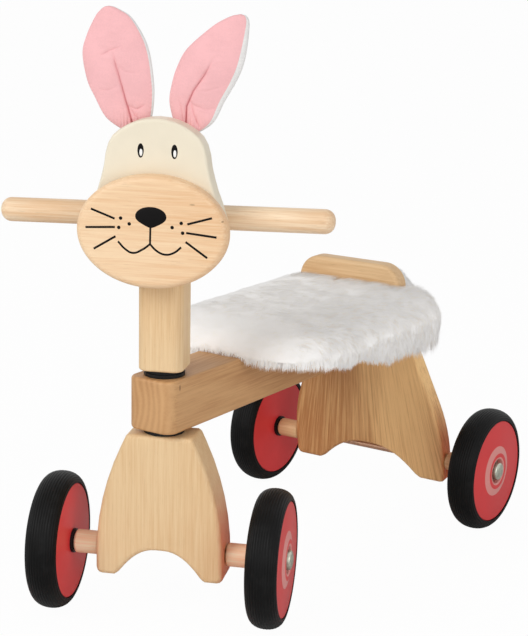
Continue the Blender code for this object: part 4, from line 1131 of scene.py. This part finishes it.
def pile(name, piece, count, seed, reach, lie, weigh):
    """Fur: one tapered, bent strand at each of many places on a piece. lie gives each strand's lean,
    how far it stands up, how unruly it is and its length's share, for its place and its normal."""
    spots, out, chance = surface_points(piece, count, seed, weigh)
    tufts = clump_drift(spots, TUFT_SIZE, seed)
    locks = clump_drift(spots, LOCK_SIZE, seed + 5)
    lean, stand, unruly, share = lie(spots, out)
    lengths = reach * share * (0.75 + 0.45 * chance.rand(count, 1)) * (1 + 0.35 * locks[:, 2:3] * unruly)
    stray = (tufts * 0.55 + locks * 0.45) * unruly
    way = unit(out * stand + lean + stray + chance.normal(0, 0.08, (count, 3)))
    bend = unit(way + lean * 0.7 + tufts * 0.3 * unruly - out * 0.08 + numpy.array([[0, 0, -0.08]]))
    middle = spots + way * lengths * 0.5
    tip = middle + bend * lengths * 0.5
    side = unit(numpy.cross(way, out))
    flat = unit(numpy.cross(side, way))
    roll = chance.normal(0, 0.12, (count, 1))
    side = (side * numpy.cos(roll) + flat * numpy.sin(roll)) * STRAND_WIDTH / 2
    root = spots - out * 0.001
    points = numpy.stack([root - side, root + side, middle + side * 0.85, middle - side * 0.85, tip], axis=1)
    start = numpy.arange(count)[:, None] * 5
    quads = start + numpy.array([[0, 1, 2, 3]])
    ends = start + numpy.array([[3, 2, 4]])
    fur = new_piece(name, points.reshape(-1, 3).tolist(), quads.tolist() + ends.tolist())
    colours = numpy.ones((count, 5, 4))
    # Red runs from root to tip and carries the painted shade that darkens each strand toward its root
    colours[:, :, 0] = numpy.array([[0.0, 0.0, 0.6, 0.6, 1.0]])
    colours[:, :, 1] = chance.rand(count, 1)
    colours[:, :, 2] = numpy.clip(0.5 + clump_drift(spots, TONE_SIZE, seed + 9)[:, 0:1], 0, 1)
    layer = fur.data.color_attributes.new("strand", "FLOAT_COLOR", "POINT")
    layer.data.foreach_set("color", colours.reshape(-1))
    shade = unit(out + chance.normal(0, 0.12, (count, 3)) + (tufts * 0.3 + locks * 0.25) * unruly)
    fur.data.polygons.foreach_set("use_smooth", [True] * len(fur.data.polygons))
    fur.data.normals_split_custom_set_from_vertices(numpy.repeat(shade, 5, axis=0).tolist())
    return fur


def soft_core(node, name, voxel, seed, swell, shrink, shape):
    """A stuffed core: the CAD solid remeshed, evened, drawn in under its pile and reshaped a little."""
    piece = merged_copy(node, name)
    remesh = piece.modifiers.new("even", "REMESH")
    remesh.mode = "VOXEL"
    remesh.voxel_size = voxel
    ease = piece.modifiers.new("ease", "SMOOTH")
    ease.iterations = 4
    apply_modifiers(piece)
    normals = [vertex.normal.copy() for vertex in piece.data.vertices]
    for vertex, normal in zip(piece.data.vertices, normals):
        lump = noise.noise(vertex.co / 0.02 + Vector((seed, 0, 0))) + 0.5 * noise.noise(vertex.co / 0.008)
        vertex.co = shape(vertex.co + normal * (lump * swell - shrink))
    only(piece)
    bpy.ops.object.shade_smooth()
    return piece


# How far the skirt's hem rises or drops, in metres, at places along the seat
HEM_PLACES = (-0.092, -0.066, -0.010, 0.003, 0.070, 0.150)
HEM_LIFTS = (0.022, 0.008, -0.009, -0.003, -0.018, -0.019)


class TOY_OT_cushion(bpy.types.Operator):
    """Make the plush seat: its stuffed core and its long pile"""
    bl_idname = "toy.cushion"
    bl_label = "Plush seat"

    def execute(self, context):
        cloth = context.scene.toy_cloth
        low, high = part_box("seat_cushion")
        board_low, board_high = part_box("seat_board")
        board_top = board_high[2]
        waist = board_low[2]
        half_length = (high[1] - low[1]) / 2
        middle_y = (high[1] + low[1]) / 2
        corner = 0.052
        slope = 0.055
        rise, sink = 0.0095, 0.0160

        def crown(place):
            """Domes the top and rounds it off toward the rim. The skirt curls in, and hangs lower aft."""
            x, y, z = place
            over_x = abs(x) - high[0] + corner
            over_y = abs(y - middle_y) - half_length + corner
            inside = corner - math.hypot(max(over_x, 0), max(over_y, 0)) - min(max(over_x, over_y), 0)
            if z > waist:
                fall = max(0.0, 1 - inside / slope)
                z += (z - waist) / (high[2] - waist) * (rise - sink * fall * fall)
            else:
                drop = (waist - z) / (waist - low[2])
                z += drop * float(numpy.interp(y, HEM_PLACES, HEM_LIFTS))
                x *= 1 - 0.035 * drop * drop
                y = middle_y + (y - middle_y) * (1 - 0.025 * drop * drop)
            return Vector((x, y, z))

        core = soft_core("seat_cushion", "seat_plush_core", voxel=0.004, seed=3, swell=0.0010, shrink=0.0026,
                         shape=crown)
        beam_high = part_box("beam")[1]
        rest_low, rest_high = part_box("backrest")
        hem = low[2]
        middle = numpy.array([[0.0, middle_y, 0.0]])
        combed = numpy.array([[0.80, 0.60, -0.05]])

        def lie(spots, out):
            """On the top the pile is combed flat, one way; on the sides it hangs in loose locks."""
            steep = numpy.clip((0.93 - out[:, 2:3]) / 0.55, 0.0, 1.0)
            lean = combed * (1 - steep) + numpy.array([[0.0, 0.0, -1.15]]) * steep
            stand = 0.13 + 0.22 * steep
            unruly = 0.16 + 0.56 * steep
            aft = numpy.clip((spots[:, 1:2] - 0.02) / 0.12, 0.0, 1.0)
            near_hem = numpy.clip((hem + 0.014 - 0.014 * aft - spots[:, 2:3]) / 0.012, 0.0, 1.0)
            share = 0.80 + 0.12 * steep + near_hem * (aft * 0.75 - 0.30)
            beside = numpy.maximum(numpy.abs(spots[:, 0:1]) - rest_high[0], 0.0)
            before = numpy.maximum(rest_low[1] - spots[:, 1:2], 0.0)
            close = numpy.clip(1 - numpy.hypot(beside, before) / 0.022, 0.0, 1.0)
            stand = stand + 0.7 * close
            share = share + 0.45 * close
            near_beam = ((numpy.abs(spots[:, 0:1]) < beam_high[0] + 0.004)
                         & (spots[:, 2:3] < beam_high[2] + 0.01))
            return lean, stand, unruly, numpy.where(near_beam, share * 0.6, share)

        def weigh(places, facing):
            """Hardly any pile grows on the underside or inside the skirt, where it isn't seen."""
            away = places - middle
            inward = (facing[:, 0] * away[:, 0] + facing[:, 1] * away[:, 1]) < 0
            hidden = (places[:, 2] < board_top) & (inward | (facing[:, 2] < -0.6))
            return numpy.where(hidden, 0.02, 1.0)

        surface = plush("white_pile")
        under = backing("plush_backing")
        settle(core, "seat_plush_core", "chassis", under, ("seat_cushion",))
        fur = pile("seat_plush_pile", core, SEAT_STRANDS, 11, cloth.seat_pile, lie, weigh)
        settle(fur, "seat_plush_pile", "chassis", surface)
        return {"FINISHED"}


class TOY_OT_tail(bpy.types.Operator):
    """Make the round plush tail: its stuffed core and its pile"""
    bl_idname = "toy.tail"
    bl_label = "Plush tail"

    def execute(self, context):
        cloth = context.scene.toy_cloth
        core = soft_core("tail", "tail_plush_core", voxel=0.003, seed=9, swell=0.0008, shrink=0.0048,
                         shape=lambda place: Vector((place.x * 1.12, place.y, place.z - 0.0055)))
        panel = numpy.array([0.0, math.cos(PANEL_LEAN), math.sin(PANEL_LEAN)])

        def lie(spots, out):
            return numpy.array([[0.0, 0.25, -0.45]]), 0.9, 0.9, numpy.ones((len(spots), 1))

        def weigh(places, facing):
            """No pile grows on the flat that lies against the panel."""
            return numpy.where(places @ panel < (places @ panel).min() + 0.002, 0.0, 1.0)

        surface, under = (bpy.data.materials[name] for name in ("white_pile", "plush_backing"))
        settle(core, "tail_plush_core", "chassis", under, ("tail",))
        fur = pile("tail_plush_pile", core, TAIL_STRANDS, 21, cloth.tail_pile, lie, weigh)
        settle(fur, "tail_plush_pile", "chassis", surface)
        return {"FINISHED"}


WHITE = (1.0, 1.0, 1.0, 1.0)
# The photograph's view: place in metres from the steering axis and the floor, angles in degrees
CAMERA_PLACE = Vector((0.9019, -1.2418, 0.6572))
CAMERA_YAW = 34.572
CAMERA_PITCH = 13.837
CAMERA_ROLL = 0.649
CAMERA_LENS = 98.73
CAMERA_SHIFT = (0.09, 0.0132)


def area_light(name, power, size, place, target):
    lamp = started(bpy.ops.object.light_add, type="AREA", location=place)
    lamp.name = name
    lamp.data.energy = power
    lamp.data.shape = "DISK"
    lamp.data.size = size
    lamp.rotation_euler = (Vector(target) - Vector(place)).to_track_quat("-Z", "Y").to_euler()


class TOY_OT_stage(bpy.types.Operator):
    """Set the pale floor, the soft lights and the camera"""
    bl_idname = "toy.stage"
    bl_label = "Stage"

    def execute(self, context):
        settings = context.scene.toy_stage
        scene = context.scene
        floor = started(bpy.ops.mesh.primitive_plane_add, size=60.0, location=(0, 0, -0.0006))
        floor.name = "floor"
        finish = Finish("pale_floor", 0.9)
        finish.constant(Base_Color=(*toned(settings.floor), 1.0))
        light = finish.node("ShaderNodeEmission", None, {"Color": WHITE, "Strength": 1.0})
        seen = Signal(finish, finish.node("ShaderNodeLightPath").outputs["Is Camera Ray"])
        blend = finish.node("ShaderNodeMixShader", None,
                            {0: seen * 0.97, 1: finish.shader.outputs[0], 2: light.outputs[0]})
        finish.feed(finish.tree.nodes["Material Output"].inputs["Surface"], blend.outputs[0])
        floor.data.materials.append(finish.material)

        scene.world = bpy.data.worlds.new("studio")
        studio = Wiring(scene.world)
        rays = studio.node("ShaderNodeLightPath").outputs
        shown = studio.maths("MAXIMUM", rays["Is Camera Ray"], rays["Is Glossy Ray"])
        shown = studio.maths("MAXIMUM", shown, rays["Is Transmission Ray"])
        strength = studio.node("ShaderNodeMapRange", None, {"Value": shown, "To Min": settings.sky})
        sky = studio.tree.nodes["Background"]
        studio.feed(sky.inputs["Strength"], strength.outputs[0])
        studio.feed(sky.inputs["Color"], WHITE)

        middle = (0.0, 0.0, 0.25)
        area_light("key_light", settings.key_power, 1.6, (-0.9, -2.5, 1.9), middle)
        area_light("fill_light", settings.fill_power, 2.2, (2.1, -1.1, 0.85), middle)
        camera = started(bpy.ops.object.camera_add, location=STEERING_PLACE + CAMERA_PLACE)
        camera.name = "camera"
        yaw, pitch, roll = (math.radians(angle) for angle in (CAMERA_YAW, CAMERA_PITCH, CAMERA_ROLL))
        turned = Matrix.Rotation(yaw, 3, "Z") @ Matrix.Rotation(math.pi / 2 - pitch, 3, "X")
        camera.rotation_euler = (turned @ Matrix.Rotation(roll, 3, "Z")).to_euler()
        camera.data.lens = CAMERA_LENS
        camera.data.sensor_width = 36.0
        camera.data.shift_x, camera.data.shift_y = CAMERA_SHIFT
        camera.data.clip_end = 100.0
        scene.camera = camera
        scene.view_settings.view_transform = "Standard"
        return {"FINISHED"}


class TOY_PT_panel(bpy.types.Panel):
    """The toy's sizes, colours and making steps"""
    bl_idname = "TOY_PT_panel"
    bl_label = "Rabbit Ride-on Toy"
    bl_space_type = "VIEW_3D"
    bl_region_type = "UI"
    bl_category = "Toy"

    def draw(self, context):
        for group in GROUPS:
            box = self.layout.box()
            settings = getattr(context.scene, group)
            for name in settings.__annotations__:
                box.prop(settings, name)
        for operator in OPERATORS:
            self.layout.operator(operator.bl_idname)


GROUPS = {"toy_wood": ToyWood, "toy_paint": ToyPaint, "toy_cloth": ToyCloth, "toy_wheels": ToyWheels,
          "toy_stage": ToyStage}
OPERATORS = (TOY_OT_boards, TOY_OT_round_wood, TOY_OT_head, TOY_OT_face, TOY_OT_ears, TOY_OT_wheels,
             TOY_OT_fittings, TOY_OT_cushion, TOY_OT_tail, TOY_OT_stage)


def register():
    for name, group in GROUPS.items():
        bpy.utils.register_class(group)
        setattr(bpy.types.Scene, name, bpy.props.PointerProperty(type=group))
    for kind in OPERATORS + (TOY_PT_panel,):
        bpy.utils.register_class(kind)


def unregister():
    for kind in reversed(OPERATORS + (TOY_PT_panel,)):
        bpy.utils.unregister_class(kind)
    for name, group in GROUPS.items():
        delattr(bpy.types.Scene, name)
        bpy.utils.unregister_class(group)


def main():
    register()
    for make in (bpy.ops.toy.boards, bpy.ops.toy.round_wood, bpy.ops.toy.head, bpy.ops.toy.face,
                 bpy.ops.toy.ears, bpy.ops.toy.wheels, bpy.ops.toy.fittings, bpy.ops.toy.cushion,
                 bpy.ops.toy.tail, bpy.ops.toy.stage):
        make()


if __name__ == "__main__":
    main()
